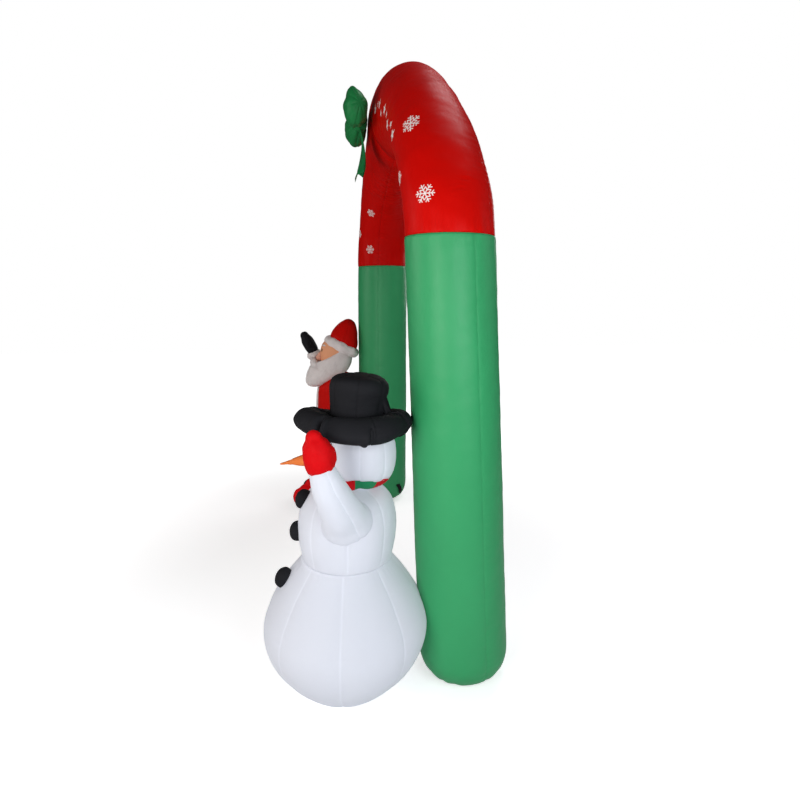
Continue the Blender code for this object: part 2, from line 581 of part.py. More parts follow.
def father_christmas():
    # Boots and trousers
    boots, legs = [], []
    for name, side in (("near", 1), ("far", -1)):
        x = side * 0.105
        boot = swept("figure_boot_" + name, [
            (elf(x, -0.275, 0.062), 0.040, 0.044), (elf(x, -0.290, 0.066), 0.062, 0.062),
            (elf(x, -0.330, 0.074), 0.080, 0.073), (elf(x, -0.400, 0.082), 0.088, 0.081),
            (elf(x, -0.480, 0.080), 0.091, 0.079), (elf(x, -0.550, 0.076), 0.090, 0.075),
            (elf(x, -0.600, 0.068), 0.078, 0.067), (elf(x, -0.628, 0.062), 0.050, 0.050),
            (elf(x, -0.640, 0.060), 0.022, 0.026)], BLACK, side=Vector((1, 0, 0)), section=2.2)
        flat_sole(boot, 0.0)
        boots.append(boot)
        leg_obj = swept("figure_trouser_" + name, [
            (elf(x, -0.365, 0.105), 0.078, 0.080), (elf(x, -0.365, 0.170), 0.090, 0.094),
            (elf(x, -0.364, 0.240), 0.098, 0.104), (elf(x * 0.98, -0.364, 0.320), 0.100, 0.112),
            (elf(x * 0.96, -0.363, 0.395), 0.098, 0.116)], RED, side=Vector((1, 0, 0)))
        seat(leg_obj, boot)
        legs.append(leg_obj)

    # Coat: a full skirt, the chest upright, the shoulders round
    coat = swept("figure_coat", [
        (elf(0, COAT_Y + 0.000, 0.345), 0.212, 0.158), (elf(0, COAT_Y, 0.420), 0.214, 0.164),
        (elf(0, COAT_Y, 0.520), 0.208, 0.167), (elf(0, COAT_Y, 0.640), 0.198, 0.166),
        (elf(0, COAT_Y, 0.760), 0.192, 0.164), (elf(0, COAT_Y, 0.860), 0.186, 0.160),
        (elf(0, COAT_Y, 0.930), 0.172, 0.150), (elf(0, COAT_Y + 0.004, 0.985), 0.140, 0.128),
        (elf(0, COAT_Y + 0.006, 1.020), 0.100, 0.098), (elf(0, COAT_Y + 0.006, 1.036), 0.060, 0.060)],
        RED, count=24, side=Vector((1, 0, 0)))
    seat(coat, leg_far)
    for leg_obj in legs:
        seat(leg_obj, coat)
    hem = ring_roll("figure_hem", elf(0, COAT_Y, 0.352), 0.214, 0.160, 0.034, 0.040, HAIR)
    seat(hem, coat, leg_far, *legs)

    # Head, looking up, with the beard wrapped round its front and sides
    head = lathe("figure_face", [(0.040, 1.060), (0.088, 1.078), (0.114, 1.112), (0.124, 1.155),
                                 (0.125, 1.198), (0.118, 1.240), (0.096, 1.280), (0.050, 1.304)],
                 elf(0, -0.380, 0), SKIN)
    seat(head, coat)
    hat_base, hat_tip = elf(0, -0.326, 1.248), elf(0, -0.266, 1.462)
    hat = tilted("figure_hat", [
        (hat_base.lerp(hat_tip, t), r, r, -lift) for t, r, lift in (
            (0.00, 0.112, 27), (0.14, 0.120, 27), (0.32, 0.114, 25), (0.50, 0.100, 22),
            (0.68, 0.082, 19), (0.84, 0.060, 17), (0.95, 0.036, 16), (1.00, 0.012, 16))], RED)
    seat(head, hat)
    trim = ring_roll("figure_hat_trim", elf(0, -0.336, 1.240), 0.114, 0.114, 0.035, 0.038, HAIR,
                     lean_back=BACK_TILT)
    seat(trim, hat, head, leg_far)
    seat(hat, leg_far)

    beard = tilted("figure_beard", [
        (elf(0, -0.384, 1.192), 0.127, 0.145, 29), (elf(0, -0.408, 1.158), 0.148, 0.165, 15),
        (elf(0, -0.421, 1.112), 0.156, 0.177, 12), (elf(0, -0.438, 1.055), 0.153, 0.179, 11),
        (elf(0, -0.462, 1.005), 0.140, 0.163, 10), (elf(0, -0.490, 0.965), 0.112, 0.122, 11),
        (elf(0, -0.508, 0.938), 0.072, 0.074, 13), (elf(0, -0.512, 0.928), 0.030, 0.030, 13)],
        HAIR)
    nose = swept("figure_nose", rounded_ends(
        [elf(0, -0.492, 1.176), elf(0, -0.512, 1.152)],
        [(0.021, 0.020), (0.024, 0.023)]), SKIN, count=14)
    moustache = swept("figure_moustache", [
        (elf(side * x, y, z), r, r * 1.08) for side, x, y, z, r in
        [(-1,) + p for p in reversed(MOUSTACHE)] + [(1,) + p for p in MOUSTACHE[1:]]],
        WHITE, count=14, side=Vector((0, 1, 0)))
    seat(beard, head, coat, trim)
    seat(nose, head, beard)
    seat(moustache, beard, head, nose)

    # Arms: the near one hangs, the far one is raised, both in black mittens
    arm_near = swept("figure_arm_near", rounded_ends(
        [elf(0.150, -0.360, 0.900), elf(0.208, -0.372, 0.855), elf(0.252, -0.388, 0.775),
         elf(0.272, -0.410, 0.695)],
        [(0.066, 0.060), (0.064, 0.060), (0.058, 0.056), (0.055, 0.053)]), RED,
        side=Vector((0, 1, 0)))
    arm_far = swept("figure_arm_far", rounded_ends(
        [elf(-0.140, -0.365, 0.905), elf(-0.198, -0.385, 0.920), elf(-0.232, -0.440, 0.965),
         elf(-0.232, -0.500, 1.050), elf(-0.226, -0.540, 1.125)],
        [(0.062, 0.062), (0.062, 0.062), (0.058, 0.058), (0.054, 0.054), (0.050, 0.050)]), RED,
        side=Vector((1, 0, 0)))
    for arm in (arm_near, arm_far):
        seat(arm, coat, beard)
    cuff_near = cuff("figure_cuff_near", elf(0.280, -0.419, 0.656), Vector((0.08, -0.25, -1)),
                     0.060)
    cuff_far = cuff("figure_cuff_far", elf(-0.224, -0.556, 1.160), Vector((0.02, -0.45, 1)),
                    0.058)
    mitten("figure_mitten_near", elf(0.281, -0.424, 0.644), elf(0.290, -0.462, 0.479), 0.052,
           Vector((0, -1, 0)), cuff_near, BLACK)
    mitten("figure_mitten_far", elf(-0.222, -0.558, 1.180), elf(-0.222, -0.650, 1.346), 0.059,
           Vector((1, 0, 0)), cuff_far, BLACK)
    seat(cuff_near, arm_near)
    seat(cuff_far, arm_far)

    # Front edging of the coat
    edging = swept("figure_edging", [
        (elf(0, COAT_Y - f, z), 0.026, 0.012) for z, f in (
            (0.398, 0.163), (0.520, 0.167), (0.640, 0.166), (0.760, 0.164), (0.860, 0.160),
            (0.915, 0.153))], HAIR, count=12, side=Vector((1, 0, 0)))
    seat(edging, coat, hem, beard)


leg_near = leg("leg_near", 1)
leg_far = leg("leg_far", -1)
crown = arch_top()
stake_loop("stake_loop_near", 1, leg_near)
stake_loop("stake_loop_far", -1, leg_far)
bow()
snowman()
father_christmas()
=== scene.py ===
"""Looks of the inflatable garden arch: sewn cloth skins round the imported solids.

Metres, +Z up, floor at z = 0, the front faces -Y. The span runs along X, with
the snowman before the +X leg and the bearded figure before the -X leg.
"""

import math
from functools import partial

import bmesh
import bpy
import numpy as np
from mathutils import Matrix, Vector
from mathutils.bvhtree import BVHTree

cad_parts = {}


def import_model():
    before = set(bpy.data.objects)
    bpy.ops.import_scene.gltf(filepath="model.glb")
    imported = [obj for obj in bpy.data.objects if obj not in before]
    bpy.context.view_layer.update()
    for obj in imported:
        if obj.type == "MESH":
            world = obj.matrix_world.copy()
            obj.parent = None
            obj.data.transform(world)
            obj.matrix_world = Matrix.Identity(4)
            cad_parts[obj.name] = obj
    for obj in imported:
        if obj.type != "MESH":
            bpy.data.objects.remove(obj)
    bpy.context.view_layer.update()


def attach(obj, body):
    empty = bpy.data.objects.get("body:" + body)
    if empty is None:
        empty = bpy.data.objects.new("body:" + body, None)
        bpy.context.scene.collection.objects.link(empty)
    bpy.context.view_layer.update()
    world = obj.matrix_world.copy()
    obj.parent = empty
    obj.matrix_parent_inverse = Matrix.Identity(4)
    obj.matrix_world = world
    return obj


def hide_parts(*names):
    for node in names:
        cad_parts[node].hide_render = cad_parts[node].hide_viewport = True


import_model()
TURN = 2 * math.pi
GAP = 0.0003                         # between pieces that are sewn together

# ---------------------------------------------------------------- dimensions
ARCH_X, ARCH_Y = -0.0274, 0.2313     # the arch's middle plane in the frame

HALF_SPAN = 1.04
LEG_RX, LEG_RY = 0.188, 0.200
LEG_R, TOP_R = 0.19, 0.20            # mean radii, which space the points round a tube
LEG_SEAM = math.radians(17)          # the outer seam, round from the span's line
TOP_SEAMS = math.radians(52), math.radians(196)   # round from the outer side
FOOT_TAPER = 0.955
FOOT_ROUND_IN, FOOT_ROUND_UP = 0.120, 0.135
SEAM_Z = 1.890
CROWN_OUT_Z, CROWN_IN_Z = 3.050, 2.480
HAUNCH_POWER = 1.65
INNER_STRAIGHT_Z, INNER_X_POWER, INNER_Z_POWER = 1.950, 1.30, 2.20
CROWN_RY, HAUNCH_SLIM, CROWN_SECTION = 0.213, 0.008, 2.05
LEAN_NEAR, LEAN_FAR = 0.097, 0.002

SNOW_X = 1.04
LOWER_Y, WAIST_Z, WAIST_R = -0.411, 0.551, 0.1868
MIDDLE_Y, NECK_Z = -0.406, 0.848
HEAD_Y, HEAD_R = -0.344, 0.1435
SCARF_Y = (HEAD_Y + MIDDLE_Y) / 2
BRIM_Y, BRIM_Z, BRIM_R, BRIM_HALF, BRIM_DROOP = -0.383, 1.110, 0.250, 0.050, 0.044
BRIM_TILT, BRIM_ROLL = math.radians(3.2), math.radians(7)   # its back and far side are low
CROWN_Y, CROWN_Z, CROWN_HIGH, CROWN_TILT = -0.367, 1.128, 0.176, math.radians(4.5)
# Folds in the brim: degrees round it, from and to (share of its section), depth, width
BRIM_FOLDS = ((-38.0, 0.16, 0.66, 0.026, 0.010), (14.0, 0.18, 0.58, 0.020, 0.008),
              (68, 0.25, 0.60, 0.007, 0.008), (118, 0.18, 0.68, 0.016, 0.009),
              (197, 0.20, 0.68, 0.016, 0.009), (246, 0.20, 0.64, 0.012, 0.009))
BUTTON_R, BUTTON_HIGH = 0.039, 0.030
BUTTONS = ((-0.587, 0.790, 22), (-0.610, 0.660, -2), (-0.668, 0.470, 36))   # y, z, degrees up

BACK_SLIM = 0.20                     # the tube's back upper quarter is this much leaner
FOLD_DEPTH, FOLD_WIDTH = 0.034, 0.030   # the fold across the crown's inner side
FOLD_PUFF = 0.010                    # the cloth swells on both sides of it
# Slack dents in the red top: side, station, angle round it, length, depth, turn in degrees
DENTS = ((1, 12.5, 2, 0.030, 0.0035, 10), (1, 15.0, 12, 0.036, 0.0030, -6),
         (1, 47.0, 33, 0.050, 0.0040, 12), (1, 53.0, 25, 0.045, 0.0035, -8),
         (1, 40.0, 44, 0.040, 0.0035, 5), (1, 58.0, 48, 0.050, 0.0040, 20),
         (-1, 14.0, 20, 0.045, 0.0035, 8), (-1, 48.0, 35, 0.050, 0.0040, -12),
         (-1, 30.0, 150, 0.040, 0.0035, 6))
# Prints on the red top: side, station, angle round the tube, radius, turn in degrees
FLAKES = ((1, 11.5, 320, 0.044, 12), (1, 32.5, 315, 0.050, 38), (1, 18.5, 269, 0.034, 20),
          (1, 9.0, 218, 0.034, 5), (1, 34.0, 222, 0.032, 25), (-1, 11.5, 320, 0.038, 20),
          (-1, 32.5, 316, 0.038, 5), (-1, 18.0, 262, 0.034, 12), (-1, 8.5, 217, 0.036, 8),
          (-1, 32.2, 222, 0.036, 16))
STARS, STAR_FIRST, STAR_LAST, STAR_AROUND, STAR_SIZE = 9, 36.0, 70.0, 276.0, 0.032

ELF_X, COAT_Y = -1.04, -0.362
TRIM_TILT = math.radians(27)         # how far the hat leans back

BOW_Z, BOW_REACH = 2.735, 0.312
KNOT_Y = -CROWN_RY - 0.060

# The camera stands off the near leg and looks along the span, turned a little to the back
EYE, LOOK_TURN = (3.274, -0.536, 1.619), 0.157
IMAGE, FOCAL, HORIZON = 800, 528.2, 299.8      # pixels
# Lights: name, place, aim, diameter, watts, colour
LIGHTS = (("key", (3.1, -1.6, 1.6), (0.9, 0.0, 1.4), 1.5, 42, (1.0, 0.985, 0.96)),
          ("front", (-0.1, -4.7, 2.4), (-0.3, 0.0, 1.3), 2.6, 62, (1.0, 0.98, 0.96)),
          ("back", (-3.8, 3.0, 2.8), (-0.3, 0.2, 1.6), 2.6, 50, (1, 1, 1)),
          ("fill", (3.2, 0.65, 1.6), (0.9, 0.1, 1.3), 1.4, 32, (0.88, 0.95, 1.0)),
          ("side", (1.2, 4.4, 2.6), (0.6, 0.3, 1.4), 2.6, 14, (0.94, 0.97, 1.0)),
          ("top", (0.1, 1.3, 4.8), (0.6, 0.2, 2.6), 1.6, 40, (1.0, 0.98, 1.0)))


# ---------------------------------------------------------------- points and rows
def world(x, y, z):
    """A point given from the arch's middle, in the frame."""
    return np.array((ARCH_X + x, ARCH_Y + y, z))


def snow(x, y, z):
    """A point given from the near leg's middle, where the snowman stands."""
    return world(SNOW_X + x, y, z)


def elf(x, y, z):
    """A point given from the far leg's middle, where the bearded figure stands."""
    return world(ELF_X + x, y, z)


def stations(place, table):
    """Ellipses (centre, two radii) from rows of x, y, z and two radii, or one for a circle."""
    return [(place(*row[:3]), row[3], row[-1]) for row in table]


def power(value, exponent):
    return np.sign(value) * np.abs(value) ** exponent


def unit(v):
    return v / np.maximum(np.linalg.norm(v, axis=-1, keepdims=True), 1e-12)


def tip_x(points, angle):
    """Points turned about X."""
    c, s = math.cos(angle), math.sin(angle)
    return points @ np.array(((1, 0, 0), (0, c, s), (0, -s, c)))


def tip_y(points, angle):
    """Points turned about Y."""
    c, s = math.cos(angle), math.sin(angle)
    return points @ np.array(((c, 0, -s), (0, 1, 0), (s, 0, c)))


def even(count):
    return TURN * np.arange(count) / count


def past(angles, mark):
    """How far angles lie past a mark, from minus to plus half a turn."""
    return (angles - mark + math.pi) % TURN - math.pi


def columns_at(angles, marks):
    return [int(np.abs(past(angles, mark)).argmin()) for mark in marks]


def round_with_seams(radius, seams, spacing):
    """Angles round a tube, about spacing apart and closer beside each seam."""
    beside = [d / radius for d in (0.0025, 0.006, 0.011, 0.018)]
    angles = []
    seams = sorted(a % TURN for a in seams)
    for here, there in zip(seams, seams[1:] + [seams[0] + TURN]):
        low, high = here + beside[-1], there - beside[-1]
        steps = max(int((high - low) * radius / spacing), 2)
        angles += [here] + [here + b for b in beside[:-1]]
        angles += [low + (high - low) * k / steps for k in range(steps + 1)]
        angles += [there - b for b in reversed(beside[:-1])]
    return np.array(angles)


def refined(rows, spacing):
    """Rows (n, m, 3) joined by smooth curves and laid about spacing apart."""
    rows = np.asarray(rows, float)
    step = np.linalg.norm(np.diff(rows, axis=0), axis=2).mean(axis=1)
    t = np.concatenate(([0.0], np.cumsum(step)))
    slope = np.gradient(rows, t, axis=0)
    at = np.linspace(0, t[-1], max(int(t[-1] / spacing), 4) + 1)
    k = np.clip(np.searchsorted(t, at, side="right") - 1, 0, len(t) - 2)
    h = (t[k + 1] - t[k])[:, None, None]
    s = ((at - t[k]) / (t[k + 1] - t[k]))[:, None, None]
    return ((2 * s**3 - 3 * s**2 + 1) * rows[k] + (s**3 - 2 * s**2 + s) * h * slope[k]
            + (3 * s**2 - 2 * s**3) * rows[k + 1] + (s**3 - s**2) * h * slope[k + 1])


def across(direction, side):
    """Two unit vectors square to direction, the first nearest to side."""
    along = unit(direction)
    first = unit(side - along * np.dot(side, along))
    return first, np.cross(along, first)


def tube_rows(run, angles, side=(1, 0, 0), section=2.0):
    """Rings of ellipses along stations (centre, radius along side, other radius)."""
    rows = []
    for k, (centre, ra, rb) in enumerate(run):
        before = run[max(k - 1, 0)][0]
        after = run[min(k + 1, len(run) - 1)][0]
        u, v = across(after - before, np.array(side, float))
        rows.append(centre + np.outer(ra * power(np.cos(angles), 2 / section), u)
                    + np.outer(rb * power(np.sin(angles), 2 / section), v))
    return rows


def nose(station, way, turns):
    """Smaller and smaller ellipses past a station, which close that end to a round nose."""
    point, ra, rb = station
    return [(point + way * min(ra, rb) * math.cos(a), ra * math.sin(a), rb * math.sin(a))
            for a in turns]


def round_ended(run, first=True, steps=5):
    """Stations with the last end, and mostly the first, drawn in to a round nose."""
    turns = [math.pi / 2 * (k + 0.2) / steps for k in range(steps)]
    start = nose(run[0], unit(run[0][0] - run[1][0]), turns) if first else []
    return start + run + nose(run[-1], unit(run[-1][0] - run[-2][0]), turns[::-1])


def lathe_rows(profile, centre, angles, tilt=0.0, roll=0.0, droop=0.0):
    """Turned rings from (radius, height); tilt and roll lean them, droop hangs the sides."""
    widest = max(radius for radius, height in profile)
    rows = []
    for radius, height in profile:
        x, y = radius * np.cos(angles), radius * np.sin(angles)
        flat = np.stack((x, y, height - droop * (x / widest) ** 2), axis=1)
        rows.append(centre + tip_y(tip_x(flat, -tilt), -roll))
    return rows


def tilted_rows(sections, angles):
    """Rings of ovals (centre, radius x, radius y, degrees its back is lifted)."""
    return [centre + tip_x(np.stack((rx * np.cos(angles), ry * np.sin(angles), 0 * angles), axis=1),
                           math.radians(lift))
            for centre, rx, ry, lift in sections]


# ---------------------------------------------------------------- cloth relief
def normals(rows):
    """Outward normals of closed rings of points."""
    n = np.cross(np.roll(rows, -1, 1) - np.roll(rows, 1, 1), np.gradient(rows, axis=0))
    n = unit(n)
    facing = (n * (rows - rows.mean(axis=1, keepdims=True))).sum()
    return n if facing > 0 else -n


def raised(rows, *reliefs):
    """Rows moved out along their normals by the sum of the reliefs."""
    return rows + normals(rows) * sum(reliefs)[..., None]


def lengths(rows):
    """Distance round each ring from column 0, each ring's girth, distance along."""
    legs = np.linalg.norm(np.roll(rows, -1, 1) - rows, axis=2)
    girth = legs.sum(axis=1)
    around = np.concatenate((np.zeros((len(rows), 1)), np.cumsum(legs, axis=1)[:, :-1]), axis=1)
    steps = np.linalg.norm(np.diff(rows, axis=0), axis=2)
    along = np.concatenate((np.zeros((1, rows.shape[1])), np.cumsum(steps, axis=0)))
    return around, girth, along


def share_along(rows):
    """0 at the first ring to 1 at the last, as a column."""
    return np.linspace(0, 1, len(rows))[:, None]


def near_ends(rows, count=4):
    """0 at both ends, rising to 1 within count rings."""
    ends = np.minimum(np.arange(len(rows)), np.arange(len(rows))[::-1])[:, None]
    return np.clip(ends / count, 0, 1)


def waves(points, size, seed, stretch=(1, 1, 1)):
    """Smooth noise from -1 to 1 of about the given feature size."""
    rng = np.random.default_rng(seed)
    total = 0.0
    for _ in range(14):
        way = unit(rng.normal(size=3)) * TURN / (size * rng.uniform(0.7, 1.9))
        total = total + np.sin(points @ (way * np.asarray(stretch)) + rng.uniform(0, TURN))
    return np.tanh(total / 3.2)


def pucker(v, pitch, seed):
    """Uneven little gathers along a seam, from 0 to 1."""
    rng = np.random.default_rng(seed)
    a, b, c = rng.uniform(0, TURN, 3)
    phase = TURN * v / pitch + 1.5 * np.sin(TURN * v / (pitch * 3.7) + a)
    strength = 0.6 + 0.4 * np.sin(TURN * v / (pitch * 5.3) + b)
    return (0.5 + 0.5 * np.sin(phase + c)) ** 1.5 * strength


def seam_relief(off, run, seed, pitch, reach, depth=0.003, width=0.006, gather=0.0016):
    """Relief and closeness of a seam, from the distances off it and along it."""
    far = np.abs(off)
    relief = -depth * np.exp(-far / width)
    for sign in (-1, 1):
        beside = (np.sign(off) == sign) * np.exp(-far / reach) * (1 - np.exp(-far / 0.005))
        relief -= gather * 2 * beside * pucker(run, pitch, seed + sign)
    return relief, np.exp(-(far / 0.004) ** 2)


def off_column(around, girth, column):
    """Signed distance of each point from one column, round its ring."""
    half = girth[:, None] / 2
    return (around - around[:, column:column + 1] + half) % girth[:, None] - half


def seam_down(rows, columns, seed, pitch=0.028, reach=0.026, **look):
    """Relief and closeness of seams that run along the piece at these columns."""
    around, girth, along = lengths(rows)
    relief, close = np.zeros(rows.shape[:2]), np.zeros(rows.shape[:2])
    for k, column in enumerate(columns):
        off = off_column(around, girth, column)
        here, near = seam_relief(off, along, seed + 7 * k, pitch, reach, **look)
        relief += here
        close = np.maximum(close, near)
    return relief, close


def seam_round(rows, row, seed, pitch, reach, **look):
    """The same for a seam that runs round the piece at this row."""
    around, girth, along = lengths(rows)
    pitch = girth[row] / max(round(girth[row] / pitch), 3)
    return seam_relief(along - along[row][None, :], around / girth[:, None] * girth[row],
                       seed, pitch, reach, **look)


def crease_down(rows, column, start, end, depth, width):
    """A fold that runs along the piece at one column, between two shares of its length."""
    around, girth, _ = lengths(rows)
    off = np.abs(off_column(around, girth, column))
    share = share_along(rows)
    inside = np.clip((share - start) / 0.08, 0, 1) * np.clip((end - share) / 0.08, 0, 1)
    lips = 0.45 * np.exp(-((off - 2.2 * width) / (1.4 * width)) ** 2)
    return depth * inside * (lips - np.exp(-(off / width) ** 1.3))


def flared(rows, body, reach, push):
    """A sleeve's rings spread where they come near the body that they are sewn to."""
    skin = tree(body)
    rows = rows.copy()
    for ring in rows:
        middle = ring.mean(axis=0)
        for k, p in enumerate(ring):
            near, normal, _, _ = skin.find_nearest(Vector(p), 0.4)
            depth = (Vector(p) - near).dot(normal)
            if depth < reach:
                way = p - middle
                way = way - np.array(normal) * np.dot(way, normal)
                ring[k] = p + unit(way) * push * (1 - max(depth, 0.0) / reach) ** 2
    return rows


def pressed(rows, *others, gap=0.0006, deepest=0.06):
    """Points that lie inside a neighbour are moved out onto its skin."""
    flat = rows.reshape(-1, 3).copy()
    for skin in map(tree, others):
        for k, p in enumerate(flat):
            near, normal, _, _ = skin.find_nearest(Vector(p), deepest)
            if near is not None and (Vector(p) - near).dot(normal) < gap:
                flat[k] = near + normal * gap
    return flat.reshape(rows.shape)


# ---------------------------------------------------------------- meshes
def linked(name, mesh):
    obj = bpy.data.objects.new(name, mesh)
    bpy.context.scene.collection.objects.link(obj)
    return obj


def mesh_object(name, points, faces):
    mesh = bpy.data.meshes.new(name)
    mesh.from_pydata([tuple(p) for p in points], [], faces)
    mesh.validate()
    mesh.polygons.foreach_set("use_smooth", [True] * len(mesh.polygons))
    return linked(name, mesh)


def outward(obj):
    """The object, with its faces turned to look out."""
    obj.data.calc_loop_triangles()
    points = np.array([v.co for v in obj.data.vertices])
    tri = np.array([t.vertices for t in obj.data.loop_triangles])
    a, b, c = (points[tri[:, k]] for k in range(3))
    if (a * np.cross(b, c)).sum() < 0:
        obj.data.flip_normals()
    return obj


def shell(name, rows, seam=None):
    """A closed skin through rings of points; each end is closed by a middle point."""
    n, m = rows.shape[:2]
    i, j = np.meshgrid(np.arange(n - 1), np.arange(m), indexing="ij")
    a, b = i * m + j, i * m + (j + 1) % m
    faces = np.stack((a, b, b + m, a + m), axis=-1).reshape(-1, 4).tolist()
    points = list(rows.reshape(-1, 3))
    for row in (0, n - 1):
        points.append(rows[row].mean(axis=0))
        for k in range(m):
            pair = (row * m + k, row * m + (k + 1) % m)
            faces.append((pair[::-1] if row == 0 else pair) + (len(points) - 1,))
    obj = outward(mesh_object(name, points, faces))
    if seam is not None:
        values = np.zeros(len(points), np.float32)
        values[:n * m] = seam.reshape(-1)
        obj.data.attributes.new("seam", "FLOAT", "POINT").data.foreach_set("value", values)
    return obj


def ring_mesh(name, rows):
    """A skin through rows of points that close on themselves both ways."""
    n, m = rows.shape[:2]
    i, j = np.meshgrid(np.arange(n), np.arange(m), indexing="ij")
    quad = np.stack((i * m + j, (i + 1) % n * m + j, (i + 1) % n * m + (j + 1) % m,
                     i * m + (j + 1) % m), axis=-1).reshape(-1, 4).tolist()
    return outward(mesh_object(name, rows.reshape(-1, 3), quad))


def joined(name, parts):
    """Several skins as one object."""
    points, faces = [], []
    for part in parts:
        faces += [tuple(v + len(points) for v in p.vertices) for p in part.data.polygons]
        points += [v.co.copy() for v in part.data.vertices]
        bpy.data.objects.remove(part, do_unlink=True)
    return mesh_object(name, points, faces)


def merged(name, parts, voxel, smoothing):
    """One smooth skin round several overlapping ones."""
    obj = joined(name, parts)
    remesh = obj.modifiers.new("remesh", "REMESH")
    remesh.mode, remesh.voxel_size = "VOXEL", voxel
    smooth = obj.modifiers.new("smooth", "SMOOTH")
    smooth.factor, smooth.iterations = 0.5, smoothing
    bpy.context.view_layer.update()
    graph = bpy.context.evaluated_depsgraph_get()
    mesh = bpy.data.meshes.new_from_object(obj.evaluated_get(graph))
    obj.modifiers.clear()
    obj.data = mesh
    mesh.polygons.foreach_set("use_smooth", [True] * len(mesh.polygons))
    return obj


def tree(obj):
    """The object's skin, made ready to find its nearest point."""
    mesh = obj.data
    return BVHTree.FromPolygons([v.co.copy() for v in mesh.vertices],
                                [tuple(p.vertices) for p in mesh.polygons])


# ---------------------------------------------------------------- materials
def feed(made, values):
    """Give sockets, by name or number, a value or another node's output."""
    for key, value in values.items():
        if isinstance(value, bpy.types.NodeSocket):
            made.id_data.links.new(value, made.inputs[key])
        else:
            made.inputs[key].default_value = value


def node(graph, kind, values=(), **settings):
    """A new node with its settings and sockets filled."""
    made = graph.nodes.new(kind)
    for key, value in settings.items():
        setattr(made, key, value)
    feed(made, dict(values))
    return made


def calc(graph, operation, *values):
    """The output of a math node."""
    return node(graph, "ShaderNodeMath", enumerate(values), operation=operation).outputs[0]


def new_material(name):
    """A material with nodes, its node tree and the place on the object."""
    mat = bpy.data.materials.new(name)
    mat.use_nodes = True
    graph = mat.node_tree
    return mat, graph, node(graph, "ShaderNodeTexCoord").outputs["Object"]


def cloth(slot, name, colour, rough=0.5, sheen=0.0, vary=0.07, seam_painted_light_and_dirt=0.86, weave=0.0016,
          creases=0.30, fuzz=0.0, gloss=0.10, through=0.0, painted_glow=0.0):
    """Thin woven nylon: fine threads, soft uneven tone, small creases, seams painted darker (painted
    shade and dirt) on most cloths and lighter (painted light) on white, and a painted glow where asked.
    """
    mat, t, where = new_material(name)
    add, less, times, sine = (partial(calc, t, operation)
                              for operation in ("ADD", "SUBTRACT", "MULTIPLY", "SINE"))

    def noise(scale, detail, roughness=0.55):
        return node(t, "ShaderNodeTexNoise", {"Vector": where, "Scale": scale, "Detail": detail,
                                              "Roughness": roughness}).outputs["Fac"]

    # threads: three crossing sets of waves, so that every side shows a weave
    split = node(t, "ShaderNodeSeparateXYZ", {0: where}).outputs
    sines = [sine(times(split[k], TURN / weave)) for k in range(3)]
    pairs = [times(sines[k], sines[(k + 1) % 3]) for k in range(3)]
    threads = add(add(pairs[0], pairs[1]), pairs[2])

    broad, fine = noise(3.2, 2.0), noise(38.0, 4.0)
    seam = node(t, "ShaderNodeAttribute", attribute_name="seam").outputs["Fac"]
    tone = add(times(less(broad, 0.5), vary * 2), times(less(fine, 0.5), vary * 0.7))
    tone = add(add(tone, times(threads, 0.005)), 1.0)
    # Painted shade and dirt at the seams: the colour is darkened near them; where the factor is above 1
    # the seams are painted lighter, as light shining through
    tone = times(tone, add(times(seam, seam_painted_light_and_dirt - 1), 1.0))
    toned = node(t, "ShaderNodeVectorMath", {0: colour, "Scale": tone}, operation="SCALE")

    height = add(times(noise(17.0, 3.0, 0.5), creases), times(threads, 0.006))
    if fuzz:
        height = add(height, times(noise(150.0, 5.0, 0.7), fuzz))
    bump = node(t, "ShaderNodeBump", {"Strength": 0.55, "Distance": 0.004, "Height": height})
    # Emission Strength is a painted glow: the cloth gives off light of its own colour, though no lamp is
    # inside it
    feed(t.nodes["Principled BSDF"], {
        "Base Color": toned.outputs[0], "Normal": bump.outputs[0],
        "Roughness": add(times(fine, 0.16), rough - 0.08), "Specular IOR Level": gloss,
        "Sheen Weight": sheen, "Sheen Roughness": 0.45, "Subsurface Weight": through,
        "Subsurface Radius": (1.0, 1.0, 1.0), "Subsurface Scale": 0.09,
        "Emission Color": (*colour, 1), "Emission Strength": painted_glow})
    return mat, slot


def striped(slot, name, first, second, pairs, start):
    """Cloth in two colours that take turns round the snowman's neck."""
    mat, slot = cloth(slot, name, first, rough=0.6, fuzz=0.5, creases=0.4)
    t = mat.node_tree
    where = node(t, "ShaderNodeTexCoord").outputs["Object"]
    neck = node(t, "ShaderNodeVectorMath", {0: where, 1: snow(0, SCARF_Y, 0)}, operation="SUBTRACT")
    split = node(t, "ShaderNodeSeparateXYZ", {0: neck.outputs[0]}).outputs
    turn = calc(t, "ARCTAN2", split[1], split[0])
    wave = calc(t, "SINE", calc(t, "MULTIPLY_ADD", turn, pairs, math.radians(start)))
    pick = calc(t, "GREATER_THAN", wave, 0.0)
    mix = node(t, "ShaderNodeMix", {0: pick, 6: (*first, 1), 7: (*second, 1)}, data_type="RGBA")
    toned = next(n for n in t.nodes if n.type == "VECT_MATH" and n.operation == "SCALE")
    feed(toned, {0: mix.outputs[2]})
    return mat, slot


# Each cloth is a material and the name of its slot
RED = cloth("red_cloth", "red_nylon", (0.600, 0.0030, 0.0015), rough=0.42, gloss=0.045)
COAT_RED = cloth("coat_cloth", "coat_nylon", (0.600, 0.005, 0.003), gloss=0.05)
MITTEN_RED = cloth("mitten_cloth", "mitten_nylon", (0.600, 0.0035, 0.006), rough=0.55, gloss=0.05)
GREEN = cloth("green_cloth", "green_nylon", (0.034, 0.325, 0.118), rough=0.45, gloss=0.30,
              seam_painted_light_and_dirt=0.95)
BOW_GREEN = cloth("bow_cloth", "bow_nylon", (0.016, 0.200, 0.056), rough=0.42)
